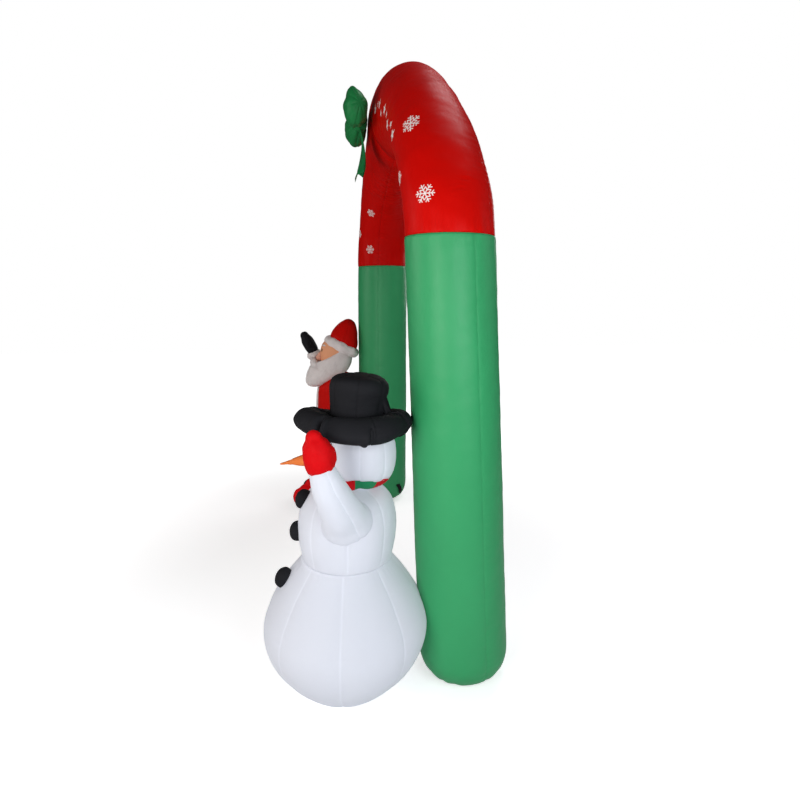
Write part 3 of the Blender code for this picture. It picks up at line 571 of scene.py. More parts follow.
# Painted glow: the white cloth gives off light of its own, which flattens its shading; its seams are
# painted lighter, as light shining through
WHITE = cloth("white_cloth", "white_nylon", (0.570, 0.582, 0.640), rough=0.55, vary=0.02,
              seam_painted_light_and_dirt=1.10, through=0.5, painted_glow=0.27)
BLACK = cloth("black_cloth", "black_nylon", (0.0150, 0.0150, 0.0175), rough=0.68, vary=0.15,
              gloss=0.06)
ORANGE = cloth("orange_cloth", "orange_nylon", (0.900, 0.230, 0.055))
FLEECE = cloth("fleece", "fleece", (0.840, 0.765, 0.750), rough=0.90, sheen=0.10, fuzz=1.6,
               vary=0.06, seam_painted_light_and_dirt=0.9, through=0.2)
SKIN = cloth("skin_cloth", "skin_nylon", (0.880, 0.400, 0.220), rough=0.60, vary=0.05)
NOSE = cloth("skin_cloth", "nose_nylon", (0.860, 0.430, 0.310), rough=0.60, vary=0.05)
SCARF = striped("scarf_cloth", "scarf_knit", (0.620, 0.006, 0.010), (0.020, 0.250, 0.100), 4.5, 18)
WEBBING = cloth("webbing", "webbing", (0.010, 0.010, 0.011), rough=0.65, weave=0.0030, creases=0.1)
PRINT = cloth("white_cloth", "white_print", (0.880, 0.790, 0.765), vary=0.08, creases=0.1)
DARK_PRINT = cloth("black_cloth", "black_print", (0.012, 0.012, 0.013), rough=0.45, vary=0.08,
                   creases=0.1)


def placed(obj, finish, stands_for=None):
    """Dress one piece, let it ride the root body and hide the part that it stands for."""
    mat, slot = finish
    obj.data.materials.append(mat)
    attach(obj, "root")
    if stands_for:
        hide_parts(stands_for)
    return obj


def sewn(name, rows, finish, close=None):
    """A closed skin that stands for the node of this name."""
    return placed(shell(name + "_skin", rows, close), finish, name)


# ---------------------------------------------------------------- the arch
def lean(x, z):
    """How far behind the arch's plane the tube's middle lies."""
    near = (x / HALF_SPAN + 1) / 2
    return (LEAN_NEAR * near + LEAN_FAR * (1 - near)) * (1 - z / CROWN_OUT_Z)


def leg_radii(z):
    taper = FOOT_TAPER + (1 - FOOT_TAPER) * z / SEAM_Z
    up = max(0.0, 1 - z / FOOT_ROUND_UP)
    drawn = FOOT_ROUND_IN * (1 - math.sqrt(1 - up * up))
    return LEG_RX * taper - drawn, LEG_RY * taper - drawn


def leg(name, side):
    """A green leg on its rounded foot, with a seam outside and inside."""
    outer = LEG_SEAM if side > 0 else math.pi - LEG_SEAM
    seams = outer, outer + math.pi
    angles = round_with_seams(LEG_R, seams, 0.011)
    heights = [FOOT_ROUND_UP * (1 - math.cos(math.radians(a))) for a in range(0, 91, 6)]
    steps = 24
    heights += [FOOT_ROUND_UP + (SEAM_Z - GAP - FOOT_ROUND_UP) * (k + 1) / steps
                for k in range(steps)]
    x = side * HALF_SPAN
    rows = refined(tilted_rows([(world(x, lean(x, z), z), *leg_radii(z), 0) for z in heights],
                               angles), 0.0085)
    down, close = seam_down(rows, columns_at(angles, seams), 11 if side > 0 else 31, depth=0.0022)
    top, near_top = seam_round(rows, len(rows) - 1, 5, 0.045, 0.045, gather=0.0026)
    foot, _ = seam_round(rows, 8, 9, 0.06, 0.05, gather=0.0030)
    foot *= np.clip(np.arange(len(rows)) / 5, 0, 1)[:, None]
    soft = 0.0022 * waves(rows, 0.30, 3 + side, (1, 1, 0.5)) + 0.0006 * waves(rows, 0.07, 8 + side)
    rows = raised(rows, down, top, foot, soft - 0.0010)
    rows[..., 2] = np.clip(rows[..., 2], 0.0, SEAM_Z)
    return sewn(name, rows, GREEN, np.maximum(close, near_top))


def crown_station(angle, side):
    """The red top's outer and inner point at a station, from 0 at the leg to a quarter turn."""
    c, s = max(math.cos(angle), 0.0), math.sin(angle)
    out_x = (HALF_SPAN + LEG_RX) * c ** (2 / HAUNCH_POWER)
    out_z = SEAM_Z + (CROWN_OUT_Z - SEAM_Z) * s ** (2 / HAUNCH_POWER)
    in_x = (HALF_SPAN - LEG_RX) * c ** (2 / INNER_X_POWER)
    upright = min(angle / math.radians(15), 1.0)
    in_z = (SEAM_Z + (INNER_STRAIGHT_Z - SEAM_Z) * upright
            + (CROWN_IN_Z - INNER_STRAIGHT_Z) * s ** (2 / INNER_Z_POWER))
    return np.array((side * out_x, 0, out_z)), np.array((side * in_x, 0, in_z))


def arch_ring(angle, side, angles):
    """Points round the tube at one station."""
    outer, inner = crown_station(angle, side)
    middle, half = (outer + inner) / 2, (outer - inner) / 2
    share = math.sin(angle)
    ry = LEG_RY + (CROWN_RY - LEG_RY) * share - HAUNCH_SLIM * math.sin(2 * angle)
    over_back = np.clip(np.sin(2 * angles), 0, 1) * (np.cos(angles) > 0)
    section = 2 + (CROWN_SECTION - 2) * share - BACK_SLIM * share * over_back
    ca, sa = power(np.cos(angles), 2 / section), power(np.sin(angles), 2 / section)
    inside = np.clip((0.62 - ca) / 1.62, 0, 1)
    crease = FOLD_DEPTH * math.exp(-abs(middle[0]) / FOLD_WIDTH) * inside
    crease = crease - FOLD_PUFF * math.exp(-((abs(middle[0]) - 0.13) / 0.07) ** 2) * inside
    p = middle + np.outer(ca * (1 - crease / np.linalg.norm(half)), half)
    y = lean(middle[0], middle[2]) + (ry - crease) * sa
    return world(0, 0, 0) + np.stack((p[:, 0], y, p[:, 2]), axis=1)


def arch_top():
    """The red top, folded in at the crown's inner side, with a seam outside and inside."""
    angles = round_with_seams(TOP_R, TOP_SEAMS, 0.0095)
    turns = [math.radians(a) for a in np.linspace(0, 90, 91)]
    halves = [(a, 1) for a in turns] + [(a, -1) for a in reversed(turns[:-1])]
    rows = refined([arch_ring(angle, side, angles) for angle, side in halves], 0.0078)
    down, close = seam_down(rows, columns_at(angles, TOP_SEAMS), 41, 0.034, 0.045, gather=0.0030)
    reliefs = [down]
    for row in (0, len(rows) - 1):
        end, near_end = seam_round(rows, row, 5 + row, 0.045, 0.05, gather=0.0030)
        reliefs.append(end)
        close = np.maximum(close, near_end)
    soft = 0.0030 * waves(rows, 0.32, 21) + 0.0008 * waves(rows, 0.08, 22)
    # cloth gathers across the tube on the inner side of each bend
    span = np.linspace(-1, 1, len(rows))[:, None]
    bend = np.exp(-((np.abs(span) - 0.42) / 0.20) ** 2) + 0.8 * np.exp(-(span / 0.10) ** 2)
    inner = np.clip(-np.cos(angles) - 0.15, 0, 1)[None, :] ** 1.5
    ripple = 0.0040 * bend * inner * waves(rows, 0.050, 23, (1.5, 0.35, 1.5))
    rows = dented(raised(rows, *reliefs, soft - 0.001, ripple))
    rows[..., 2] = np.maximum(rows[..., 2], SEAM_Z + GAP)
    return sewn("arch_top", rows, RED, close)


def on_tube(side, station, around):
    """The point of the plain tube at a station and an angle round it, in degrees."""
    return arch_ring(math.radians(station), side, np.array([math.radians(around)]))[0]


def turned(u, v, degrees):
    """Two square directions, both turned from the first towards the second."""
    c, s = math.cos(math.radians(degrees)), math.sin(math.radians(degrees))
    return u * c + v * s, v * c - u * s


def dented(rows):
    """The red top's rows with its short slack folds."""
    out = normals(rows)
    for side, station, around, length, depth, turn in DENTS:
        centre = on_tube(side, station, around)
        ahead = unit(on_tube(side, station + 1, around) - centre)
        beside = unit(on_tube(side, station, around + 1) - centre)
        along, over = turned(beside, ahead, turn)
        u = (rows - centre) @ along / length
        v = (rows - centre) @ over / (length * 0.16)
        fold = np.exp(-u ** 2 - np.abs(v) ** 1.6) - 0.6 * np.exp(-u ** 2 - (np.abs(v) - 1.7) ** 2)
        rows = rows - out * (depth * fold)[..., None]
    return rows


def stake_loop(name, side):
    """A webbing loop that lies on a leg, slack in its middle."""
    low_z, high_z, wide, thick = 0.066, 0.150, 0.036, 0.0025
    middle_z, half_high = (low_z + high_z) / 2, (high_z - low_z) / 2
    rows = []
    for t in np.linspace(-1, 1, 37):
        turn = math.radians(41) - math.radians(7) * t
        a = turn if side < 0 else math.pi - turn
        out = np.array((math.cos(a), math.sin(a), 0))
        over = np.array((-math.sin(a), math.cos(a), 0))
        z = middle_z + half_high * t
        rx, ry = leg_radii(z)
        reach = 1 / math.sqrt((out[0] / rx) ** 2 + (out[1] / ry) ** 2)
        reach += 0.003 * max(0.0, 1 - (t / 0.7) ** 2) + 0.0006
        base = world(side * HALF_SPAN, lean(side * HALF_SPAN, z), z) + out * reach
        ring = [(w, 0) for w in np.linspace(-0.5, 0.5, 9)] + [(w, 1) for w in np.linspace(0.5, -0.5, 9)]
        rows.append([base + over * w * wide + out * h * thick for w, h in ring])
    sewn(name, np.array(rows), WEBBING)


# ---------------------------------------------------------------- prints
def flake_outline(size):
    """A six-armed snow crystal, each arm with two pairs of twigs."""
    w, thick = 0.052 * size, 0.096 * size
    c, s = math.cos(math.radians(60)), math.sin(math.radians(60))
    half = [(w / math.tan(math.radians(30)), w)]
    for start, twig in ((0.36, 0.36), (0.66, 0.30)):
        u, tip = start * size, (start * size + twig * size * c, w + twig * size * s)
        half += [(u, w), tip, (tip[0] + thick * s, tip[1] - thick * c), (u + thick / s, w)]
    half.append((size, w))
    arm = half + [(u, -v) for u, v in reversed(half[1:])]
    points = []
    for k in range(6):
        ck, sk = math.cos(-k * TURN / 6), math.sin(-k * TURN / 6)
        points += [(u * ck - v * sk, u * sk + v * ck) for u, v in arm]
    return points


def star_outline(size):
    """A plain star with five points."""
    reach = [size, size * 0.42] * 5
    return [(r * math.cos(math.pi / 2 + k * math.pi / 5), r * math.sin(math.pi / 2 + k * math.pi / 5))
            for k, r in enumerate(reach)]


def oval_outline(wide, high, count=28):
    return [(wide * math.cos(a), high * math.sin(a)) for a in even(count)]


def brow_outline(half, thick, rise, count=10):
    """A low arch of even thickness with round ends."""
    top = [(half * math.cos(a), rise * math.sin(a) + thick * math.sin(a) ** 0.5)
           for a in (math.pi * k / count for k in range(count + 1))]
    return top[::-1] + [(u * 0.98, v - 1.6 * thick * (1 - (u / half) ** 2) ** 0.5 - 0.0004)
                        for u, v in top[1:-1]]


def cut_flat(outline, step):
    """An outline filled with flat faces no wider than step, facing up."""
    bm = bmesh.new()
    face = bm.faces.new([bm.verts.new((u, v, 0)) for u, v in outline])
    bmesh.ops.triangulate(bm, faces=[face])
    reach = max(max(abs(u), abs(v)) for u, v in outline)
    for axis in (Vector((1, 0, 0)), Vector((0, 1, 0))):
        for k in range(-int(reach / step), int(reach / step) + 1):
            bmesh.ops.bisect_plane(bm, geom=bm.verts[:] + bm.edges[:] + bm.faces[:],
                                   plane_co=axis * k * step, plane_no=axis)
    bm.normal_update()
    if sum(f.normal.z for f in bm.faces) < 0:
        bmesh.ops.reverse_faces(bm, faces=bm.faces)
    return bm


def printed(name, marks, skin, finish, step=0.008, thick=0.0006):
    """Ink shapes laid on a skin: marks are (outline, centre, up)."""
    surface = tree(skin)
    whole = bmesh.new()
    for outline, centre, up in marks:
        near, normal, _, _ = surface.find_nearest(Vector(centre), 0.5)
        right = Vector(up).cross(normal).normalized()
        upward = normal.cross(right).normalized()
        bm = cut_flat(outline, step)
        for v in bm.verts:
            above = near + right * v.co.x + upward * v.co.y + normal * 0.05
            hit, hit_normal, _, _ = surface.ray_cast(above, -normal, 0.2)
            if hit is None:
                hit, hit_normal, _, _ = surface.find_nearest(above, 0.5)
            v.co = hit + hit_normal * thick
        bm.normal_update()
        bmesh.ops.solidify(bm, geom=bm.faces[:], thickness=thick * 0.8)
        copy = bpy.data.meshes.new("mark")
        bm.to_mesh(copy)
        bm.free()
        whole.from_mesh(copy)
        bpy.data.meshes.remove(copy)
    mesh = bpy.data.meshes.new(name)
    whole.to_mesh(mesh)
    whole.free()
    placed(linked(name, mesh), finish)


def arch_prints(crown):
    """Snow crystals over the red top and a row of stars on the front of each half."""
    marks = []
    for side, station, around, size, turn in FLAKES:
        centre = on_tube(side, station, around)
        up = Vector(on_tube(side, station + 1.5, around) - centre).normalized()
        beside = Vector(on_tube(side, station, around + 2) - centre).normalized()
        marks.append((flake_outline(size), centre, turned(up, beside, turn)[0]))
    for side in (1, -1):
        for k, station in enumerate(np.linspace(STAR_FIRST, STAR_LAST, STARS)):
            centre = on_tube(side, station, STAR_AROUND + 5 * math.sin(2.2 * k))
            up = Vector(on_tube(side, station, STAR_AROUND + 10) - centre)
            marks.append((star_outline(STAR_SIZE * (0.62 if k % 2 else 1.0)), centre, up))
    printed("arch_print", marks, crown, PRINT)


# ---------------------------------------------------------------- sewn rounds and tubes
def finished(name, rows, shape, finish, close, floor, press):
    """The skin of rows raised by their reliefs, kept off the floor and its neighbours."""
    rows = raised(rows, *shape)
    if floor:
        rows[..., 2] = np.maximum(rows[..., 2], 0.0)
    return sewn(name, pressed(rows, *press), finish, close)


def gored(name, profile, centre, finish, gores=8, first=0.0, sink=0.012, tilt=0.0, roll=0.0,
          droop=0.0, depth=0.0022, gather=0.0014, press=(), seams=(), soft=0.0015, seed=1,
          floor=False, folds=()):
    """A turned, sewn round: panels between gore seams, with gathers beside them."""
    spacing = 0.009
    widest = max(radius for radius, height in profile)
    first = math.radians(first)
    marks = [first + TURN * k / gores for k in range(gores)]
    fold_marks = [math.radians(fold[0]) for fold in folds]
    angles = round_with_seams(widest, marks + fold_marks, spacing)
    rows = refined(lathe_rows(profile, centre, angles, tilt, roll, droop), spacing)
    radial = rows - rows.mean(axis=1, keepdims=True)
    rows = rows - radial * (sink * np.cos(gores * (angles - first) / 2) ** 8)[None, :, None]
    down, close = seam_down(rows, columns_at(angles, marks), seed, 0.024, 0.024, depth=depth,
                            gather=gather)
    shape = [down, soft * waves(rows, widest * 0.9, seed + 50)]
    for column, fold in zip(columns_at(angles, fold_marks), folds):
        shape.append(crease_down(rows, column, *fold[1:]))
    shape = [relief * near_ends(rows) for relief in shape]
    for share in seams:
        relief, near = seam_round(rows, int(share * (len(rows) - 1)), seed, 0.024, 0.024,
                                  depth=depth / 2, width=0.005, gather=gather)
        shape.append(relief)
        close = np.maximum(close, near)
    return finished(name, rows, shape, finish, close, floor, press)


def smooth_tube(name, run, finish, around=40, side=(1, 0, 0), spacing=0.008, section=2.0, press=(),
                soft=0.0012, size=0.08, seed=3, seam_at=(), floor=False, flare=None,
                pleats=None):
    """A puffed sleeve or limb along stations."""
    angles = even(around)
    if seam_at:
        girth = max(max(ra, rb) for centre, ra, rb in run)
        angles = round_with_seams(girth, seam_at, TURN * girth / around)
    rows = refined(tube_rows(run, angles, side, section), spacing)
    if flare:
        rows = flared(rows, *flare)
    shape = [soft * waves(rows, size, seed)]
    close = None
    if pleats:
        shape.append(pleats(rows, angles))
    if seam_at:
        down, close = seam_down(rows, columns_at(angles, seam_at), seed, 0.02, 0.018, width=0.005,
                                gather=0.002)
        shape.append(down)
    shape = [relief * near_ends(rows) for relief in shape]
    return finished(name, rows, shape, finish, close, floor, press)


def slack(at, inner):
    """Cross folds of a slack sleeve from one share of its length on; inner: where round it."""
    count, pitch, depth = 3, 0.034, 0.0032

    def folds(rows, angles):
        _, _, along = lengths(rows)
        side = np.clip(np.cos(angles - inner) + 0.35, 0, 1)[None, :]
        relief = np.zeros(rows.shape[:2])
        for k in range(count):
            off = along - at * along[-1].mean() - k * pitch - 0.006 * np.sin(2 * angles + k)[None, :]
            relief -= depth * side * np.exp(-np.abs(off / 0.007) ** 1.5)
            relief += 0.5 * depth * side * np.exp(-((np.abs(off) - 0.016) / 0.008) ** 2)
        return relief
    return folds


def finger(name, place, table, flat, around, side, first=True):
    """A short round-ended tube from rows of x, y, z and radius, flat times as deep as wide."""
    run = round_ended([(place(x, y, z), r, r * flat) for x, y, z, r in table], first)
    return shell(name, refined(tube_rows(run, even(around), side), 0.005))


def mitten(name, place, palm, thumb, side, finish, lumps=0.0018):
    """A puffed mitten: palm and thumb are balls run together, gathered at the wrist."""
    obj = merged(name + "_skin", (finger("hand", place, palm, 0.86, 48, side, first=False),
                                  finger("thumb", place, thumb, 0.9, 28, side)), 0.0045, 4)
    wrist = place(*palm[0][:3])
    ahead = unit(place(*palm[1][:3]) - wrist)
    palm_way = unit(np.cross(ahead, side))
    vertices = obj.data.vertices
    points = np.empty(len(vertices) * 3, np.float32)
    vertices.foreach_get("co", points)
    points = points.reshape(-1, 3)
    out = np.array([v.normal for v in vertices])
    up = (points - wrist) @ ahead
    off = points - wrist - np.outer(up, ahead)
    turn = np.arctan2(off @ palm_way, off @ unit(np.array(side, float)))
    relief = lumps * waves(points, 0.045, len(name))
    relief -= 0.0012 * np.exp(-(up / 0.024) ** 2) * np.sin(9 * turn + 1.5 * np.sin(2 * turn))
    relief -= 0.0018 * np.exp(-np.abs(off @ palm_way) / 0.004)
    points = points + out * relief[:, None]
    vertices.foreach_set("co", points.astype(np.float32).reshape(-1))
    obj.data.update()
    placed(obj, finish, name)


# ---------------------------------------------------------------- snowman
def snowman(leg_near):
    lower, middle, head = snow_balls(leg_near)
    snow_hat(leg_near)
    carrot(head)
    snow_arms(middle)
    scarf(middle, head)
    printed("snowman_face_print", snowman_marks(), head, DARK_PRINT, step=0.006)
    for number, (button, ball) in enumerate(zip(BUTTONS, (middle, middle, lower)), 1):
        snow_button(number, ball, *button)


def snow_balls(leg_near):
    """Lower ball, drawn in to the waist and flat on the floor; middle ball; head."""
    lower = gored("snowman_lower", [
        (0.080, 0.0), (0.130, 0.010), (0.182, 0.042), (0.235, 0.087), (0.283, 0.137),
        (0.317, 0.192), (0.336, 0.252), (0.337, 0.300), (0.320, 0.356), (0.289, 0.412),
        (0.252, 0.466), (0.217, 0.508), (0.200, 0.528), (0.190, 0.5425), (WAIST_R, WAIST_Z - GAP)],
        snow(0, LOWER_Y, 0), WHITE, first=-7, sink=0.007, press=(leg_near,), seed=61, floor=True,
        seams=(1.0,))
    middle = gored("snowman_middle", [
        (WAIST_R, WAIST_Z), (0.1885, 0.562), (0.1930, 0.582), (0.1985, 0.606), (0.204, 0.645),
        (0.206, 0.690), (0.201, 0.740), (0.188, 0.782), (0.166, 0.812), (0.134, 0.833),
        (0.100, NECK_Z - GAP)], snow(0, MIDDLE_Y, 0), WHITE, first=-3, sink=0.005, seed=71,
        seams=(0.0,))
    head = gored("snowman_head", [
        (0.090, NECK_Z), (0.112, 0.868), (0.131, 0.898), (0.141, 0.935), (HEAD_R, 0.975),
        (0.140, 1.020), (0.128, 1.062), (0.104, 1.100), (0.070, 1.122)],
        snow(0, HEAD_Y, 0), WHITE, first=-9, sink=0.006, seed=81)
    return lower, middle, head


def snow_hat(leg_near):
    """A puffed brim with deep folds and a crown that swells to its top."""
    half = BRIM_HALF
    brim = gored("snowman_hat_brim", [
        (0.030, -0.016), (0.105, -0.022), (0.142, -0.036), (0.182, -half), (0.214, -half * 0.86),
        (0.238, -half * 0.48), (BRIM_R, 0.0), (0.240, half * 0.52), (0.218, half * 0.90),
        (0.186, half), (0.152, 0.038), (0.112, 0.026), (0.030, 0.022)],
        snow(0, BRIM_Y, BRIM_Z), BLACK, first=15.6, sink=0.006, tilt=BRIM_TILT, roll=BRIM_ROLL,
        droop=BRIM_DROOP, press=(leg_near,), seed=91, depth=0.004, gather=0.003, soft=0.004,
        folds=BRIM_FOLDS)
    gored("snowman_hat_crown", [
        (0.112, 0.000), (0.116, 0.045), (0.121, 0.083), (0.126, 0.116), (0.125, 0.141),
        (0.113, 0.161), (0.088, 0.172), (0.045, CROWN_HIGH)],
        snow(0, CROWN_Y, CROWN_Z), BLACK, gores=7, first=-7, sink=0.004, seed=101, press=(brim,),
        depth=0.003, gather=0.0030, soft=0.003, tilt=CROWN_TILT)


def carrot(head):
    """The nose: a cone, bent a little upwards."""
    tip, root = snow(0, -0.685, 0.940), snow(0, HEAD_Y - 0.118, 0.952)
    run = [(root + (tip - root) * t + np.array((0, 0, 0.006 * math.sin(math.pi * t))), r, r)
           for t, r in ((0.0, 0.043), (0.12, 0.043), (0.3, 0.036), (0.5, 0.027), (0.7, 0.018),
                        (0.87, 0.010), (0.97, 0.005), (1.0, 0.002))]
    smooth_tube("snowman_nose", run, ORANGE, around=32, press=(head,),
                seam_at=(math.pi / 2, -math.pi / 2))


def snow_arms(middle):
    """The near arm is raised, the far one held forward, each in a red mitten."""
    smooth_tube("snowman_arm_near", round_ended(stations(snow, (
        (0.128, -0.404, 0.665, 0.034, 0.050), (0.150, -0.409, 0.705, 0.046, 0.074),
        (0.178, -0.419, 0.752, 0.056, 0.084), (0.214, -0.438, 0.805, 0.060, 0.080),
        (0.248, -0.464, 0.865, 0.060, 0.071), (0.274, -0.491, 0.925, 0.056, 0.062),
        (0.286, -0.512, 0.985, 0.050, 0.052)))), WHITE, around=72, flare=(middle, 0.034, 0.020),
        seed=111, spacing=0.006, soft=0.0022, size=0.15,
        seam_at=(math.radians(200), math.radians(20)))
    smooth_tube("snowman_arm_far", round_ended(stations(snow, (
        (-0.125, -0.408, 0.764, 0.064, 0.070), (-0.180, -0.430, 0.764, 0.060, 0.062),
        (-0.210, -0.473, 0.752, 0.053, 0.055), (-0.212, -0.515, 0.742, 0.046, 0.048)))), WHITE,
        around=64, side=(0, 0, 1), flare=(middle, 0.030, 0.018), seed=112, spacing=0.006,
        soft=0.0020, size=0.12)
    mitten("snowman_mitten_near", snow, (
        (0.289, -0.517, 0.998, 0.050), (0.290, -0.520, 1.011, 0.055), (0.292, -0.526, 1.040, 0.059),
        (0.292, -0.535, 1.072, 0.055), (0.291, -0.542, 1.100, 0.045), (0.291, -0.546, 1.121, 0.030)),
        ((0.290, -0.500, 1.018, 0.028), (0.291, -0.486, 1.046, 0.0275),
         (0.291, -0.487, 1.070, 0.020)), (0, 1, 0), MITTEN_RED)
    mitten("snowman_mitten_far", snow, (
        (-0.212, -0.516, 0.741, 0.046), (-0.212, -0.530, 0.739, 0.050),
        (-0.209, -0.560, 0.735, 0.053), (-0.206, -0.588, 0.731, 0.048),
        (-0.204, -0.610, 0.727, 0.036)),
        ((-0.208, -0.546, 0.760, 0.024), (-0.206, -0.566, 0.784, 0.022)), (0, 0, 1), MITTEN_RED)


def scarf(middle, head):
    """A knitted band round the neck with a small knot in front."""
    a, b = even(220)[:, None], even(28)[None, :]
    puff = 1 + 0.10 * np.sin(5 * a + 1.5) * np.sin(b) + 0.06 * np.sin(13 * a + 2 * b)
    up = 0.024 * np.sin(b) * puff + 0.0035 * np.sin(3 * a + 0.6)
    out = 0.1055 + 0.30 * up + 0.0090 * np.cos(b) * puff
    flat = np.stack((out * np.cos(a), out * np.sin(a), up + 0 * a), axis=-1)
    rows = snow(0, SCARF_Y, NECK_Z + 0.026) + tip_x(flat, math.radians(5))
    ring = ring_mesh("scarf_ring", pressed(rows, middle, head, gap=0.0012))
    run = round_ended(stations(snow, (
        (-0.018, -0.494, 0.860, 0.015, 0.019), (0.000, -0.500, 0.858, 0.018, 0.023),
        (0.018, -0.494, 0.860, 0.015, 0.019))))
    knot = shell("scarf_knot", refined(tube_rows(run, even(28), (0, 1, 0)), 0.004))
    placed(joined("snowman_scarf_skin", (ring, knot)), SCARF, "snowman_scarf")


def snowman_marks():
    """Two oval eyes and a row of mouth dots, printed on the head."""
    def at(degrees, z):
        a = math.radians(degrees)
        return snow(0.15 * math.sin(a), HEAD_Y - 0.15 * math.cos(a), z)
    marks = [(oval_outline(0.0135, 0.0200), at(side * 17, 1.010), (0, 0, 1)) for side in (-1, 1)]
    marks += [(oval_outline(0.0085, 0.0085, 18), at(15 * k, 0.893 + 0.0048 * k * k), (0, 0, 1))
              for k in range(-2, 3)]
    return marks


def snow_button(number, ball, y, z, degrees_up):
    """A padded dome that faces out of the ball."""
    rise = math.radians(degrees_up)
    out = np.array((0, -math.cos(rise), math.sin(rise)))
    base = snow(0, y, z) - out * 0.012
    dome = [(BUTTON_R * math.cos(a), 0.018 + BUTTON_HIGH * math.sin(a))
            for a in (math.pi / 2 * j / 8.6 for j in range(9))]
    run = [(base + out * h, r, r) for r, h in
           [(BUTTON_R * 0.96, 0.0), (BUTTON_R, 0.010)] + dome]
    smooth_tube("snowman_button_%d" % number, run, BLACK, spacing=0.004, soft=0.0006, size=0.03,
                press=(ball,), seed=119 + number)


# ---------------------------------------------------------------- bearded figure
def father_christmas(leg_far):
    figure_legs()
    coat = figure_coat(leg_far)
    head, beard = figure_head(leg_far)
    figure_face(head, beard)
    figure_arms(coat, beard)
    front = ((0.398, 0.163), (0.520, 0.167), (0.640, 0.166), (0.760, 0.164), (0.860, 0.160),
             (0.915, 0.153))
    smooth_tube("figure_edging", [(elf(0, COAT_Y - out, z), 0.026, 0.012) for z, out in front],
                FLEECE, around=24, press=(coat,))


def figure_legs():
    """Padded boots, flat on the floor, and slack trousers that go into them."""
    for name, side in (("near", 1), ("far", -1)):
        x = side * 0.105
        boot = smooth_tube("figure_boot_" + name, stations(elf, (
            (x, -0.275, 0.062, 0.040, 0.044), (x, -0.290, 0.066, 0.062, 0.062),
            (x, -0.330, 0.074, 0.080, 0.073), (x, -0.400, 0.082, 0.088, 0.081),
            (x, -0.480, 0.080, 0.091, 0.079), (x, -0.550, 0.076, 0.090, 0.075),
            (x, -0.600, 0.068, 0.078, 0.067), (x, -0.628, 0.062, 0.050, 0.050),
            (x, -0.640, 0.060, 0.022, 0.026))), BLACK, section=2.2, around=48, floor=True,
            seed=130 + side)
        smooth_tube("figure_trouser_" + name, stations(elf, (
            (x, -0.365, 0.105, 0.078, 0.080), (x, -0.365, 0.170, 0.090, 0.094),
            (x, -0.364, 0.240, 0.098, 0.104), (x * 0.98, -0.364, 0.320, 0.100, 0.112),
            (x * 0.96, -0.363, 0.395, 0.098, 0.116))), COAT_RED, around=64, spacing=0.006,
            press=(boot,), seed=133 + side, soft=0.002, size=0.10, pleats=trouser_folds)


def figure_coat(leg_far):
    """The coat, flat against the leg, on its fleece hem."""
    y = COAT_Y
    coat = smooth_tube("figure_coat", stations(elf, (
        (0, y, 0.345, 0.212, 0.158), (0, y, 0.420, 0.214, 0.164), (0, y, 0.520, 0.208, 0.167),
        (0, y, 0.640, 0.198, 0.166), (0, y, 0.760, 0.192, 0.164), (0, y, 0.860, 0.186, 0.160),
        (0, y, 0.930, 0.172, 0.150), (0, y + 0.004, 0.985, 0.140, 0.128),
        (0, y + 0.006, 1.020, 0.100, 0.098), (0, y + 0.006, 1.036, 0.060, 0.060))),
        COAT_RED, around=150, spacing=0.009, press=(leg_far,), seam_at=(0.0, math.pi), soft=0.003,
        size=0.14, seed=140, pleats=coat_folds)
    roll("figure_hem", elf(0, y, 0.352), 0.214, 0.160, 0.034, 0.040, 0.0, leg_far)
    return coat


def figure_head(leg_far):
    """Head, hat with its fleece trim, and beard."""
    ball = ((0.040, 1.060), (0.088, 1.078), (0.114, 1.112), (0.124, 1.155), (0.125, 1.198),
            (0.118, 1.240), (0.096, 1.280), (0.050, 1.304))
    head = smooth_tube("figure_face", [(elf(0, -0.380, z), r, r) for r, z in ball], SKIN,
                       around=60, seed=150, soft=0.0008)
    base, tip = elf(0, -0.326, 1.248), elf(0, -0.266, 1.462)
    angles = even(110)
    rows = refined(tilted_rows([(base + (tip - base) * t, r, r, -lift) for t, r, lift in (
        (0.00, 0.112, 27), (0.14, 0.120, 27), (0.32, 0.114, 25), (0.50, 0.100, 22),
        (0.68, 0.082, 19), (0.84, 0.060, 17), (0.95, 0.036, 16), (1.00, 0.012, 16))], angles), 0.006)
    rows = raised(rows, hat_folds(rows, angles))
    sewn("figure_hat", pressed(rows, leg_far), COAT_RED)
    roll("figure_hat_trim", elf(0, -0.336, 1.240), 0.114, 0.114, 0.035, 0.038, TRIM_TILT, leg_far)
    angles = even(150)
    rows = refined(tilted_rows([(elf(0, y, z), rx, ry, lift) for y, z, rx, ry, lift in (
        (-0.384, 1.192, 0.127, 0.145, 29), (-0.408, 1.158, 0.148, 0.165, 15),
        (-0.421, 1.112, 0.156, 0.177, 12), (-0.438, 1.055, 0.153, 0.179, 11),
        (-0.462, 1.005, 0.140, 0.163, 10), (-0.490, 0.965, 0.112, 0.122, 11),
        (-0.508, 0.938, 0.072, 0.074, 13), (-0.512, 0.928, 0.030, 0.030, 13))], angles), 0.006)
    return head, sewn("figure_beard", raised(rows, beard_locks(rows, angles)), FLEECE)


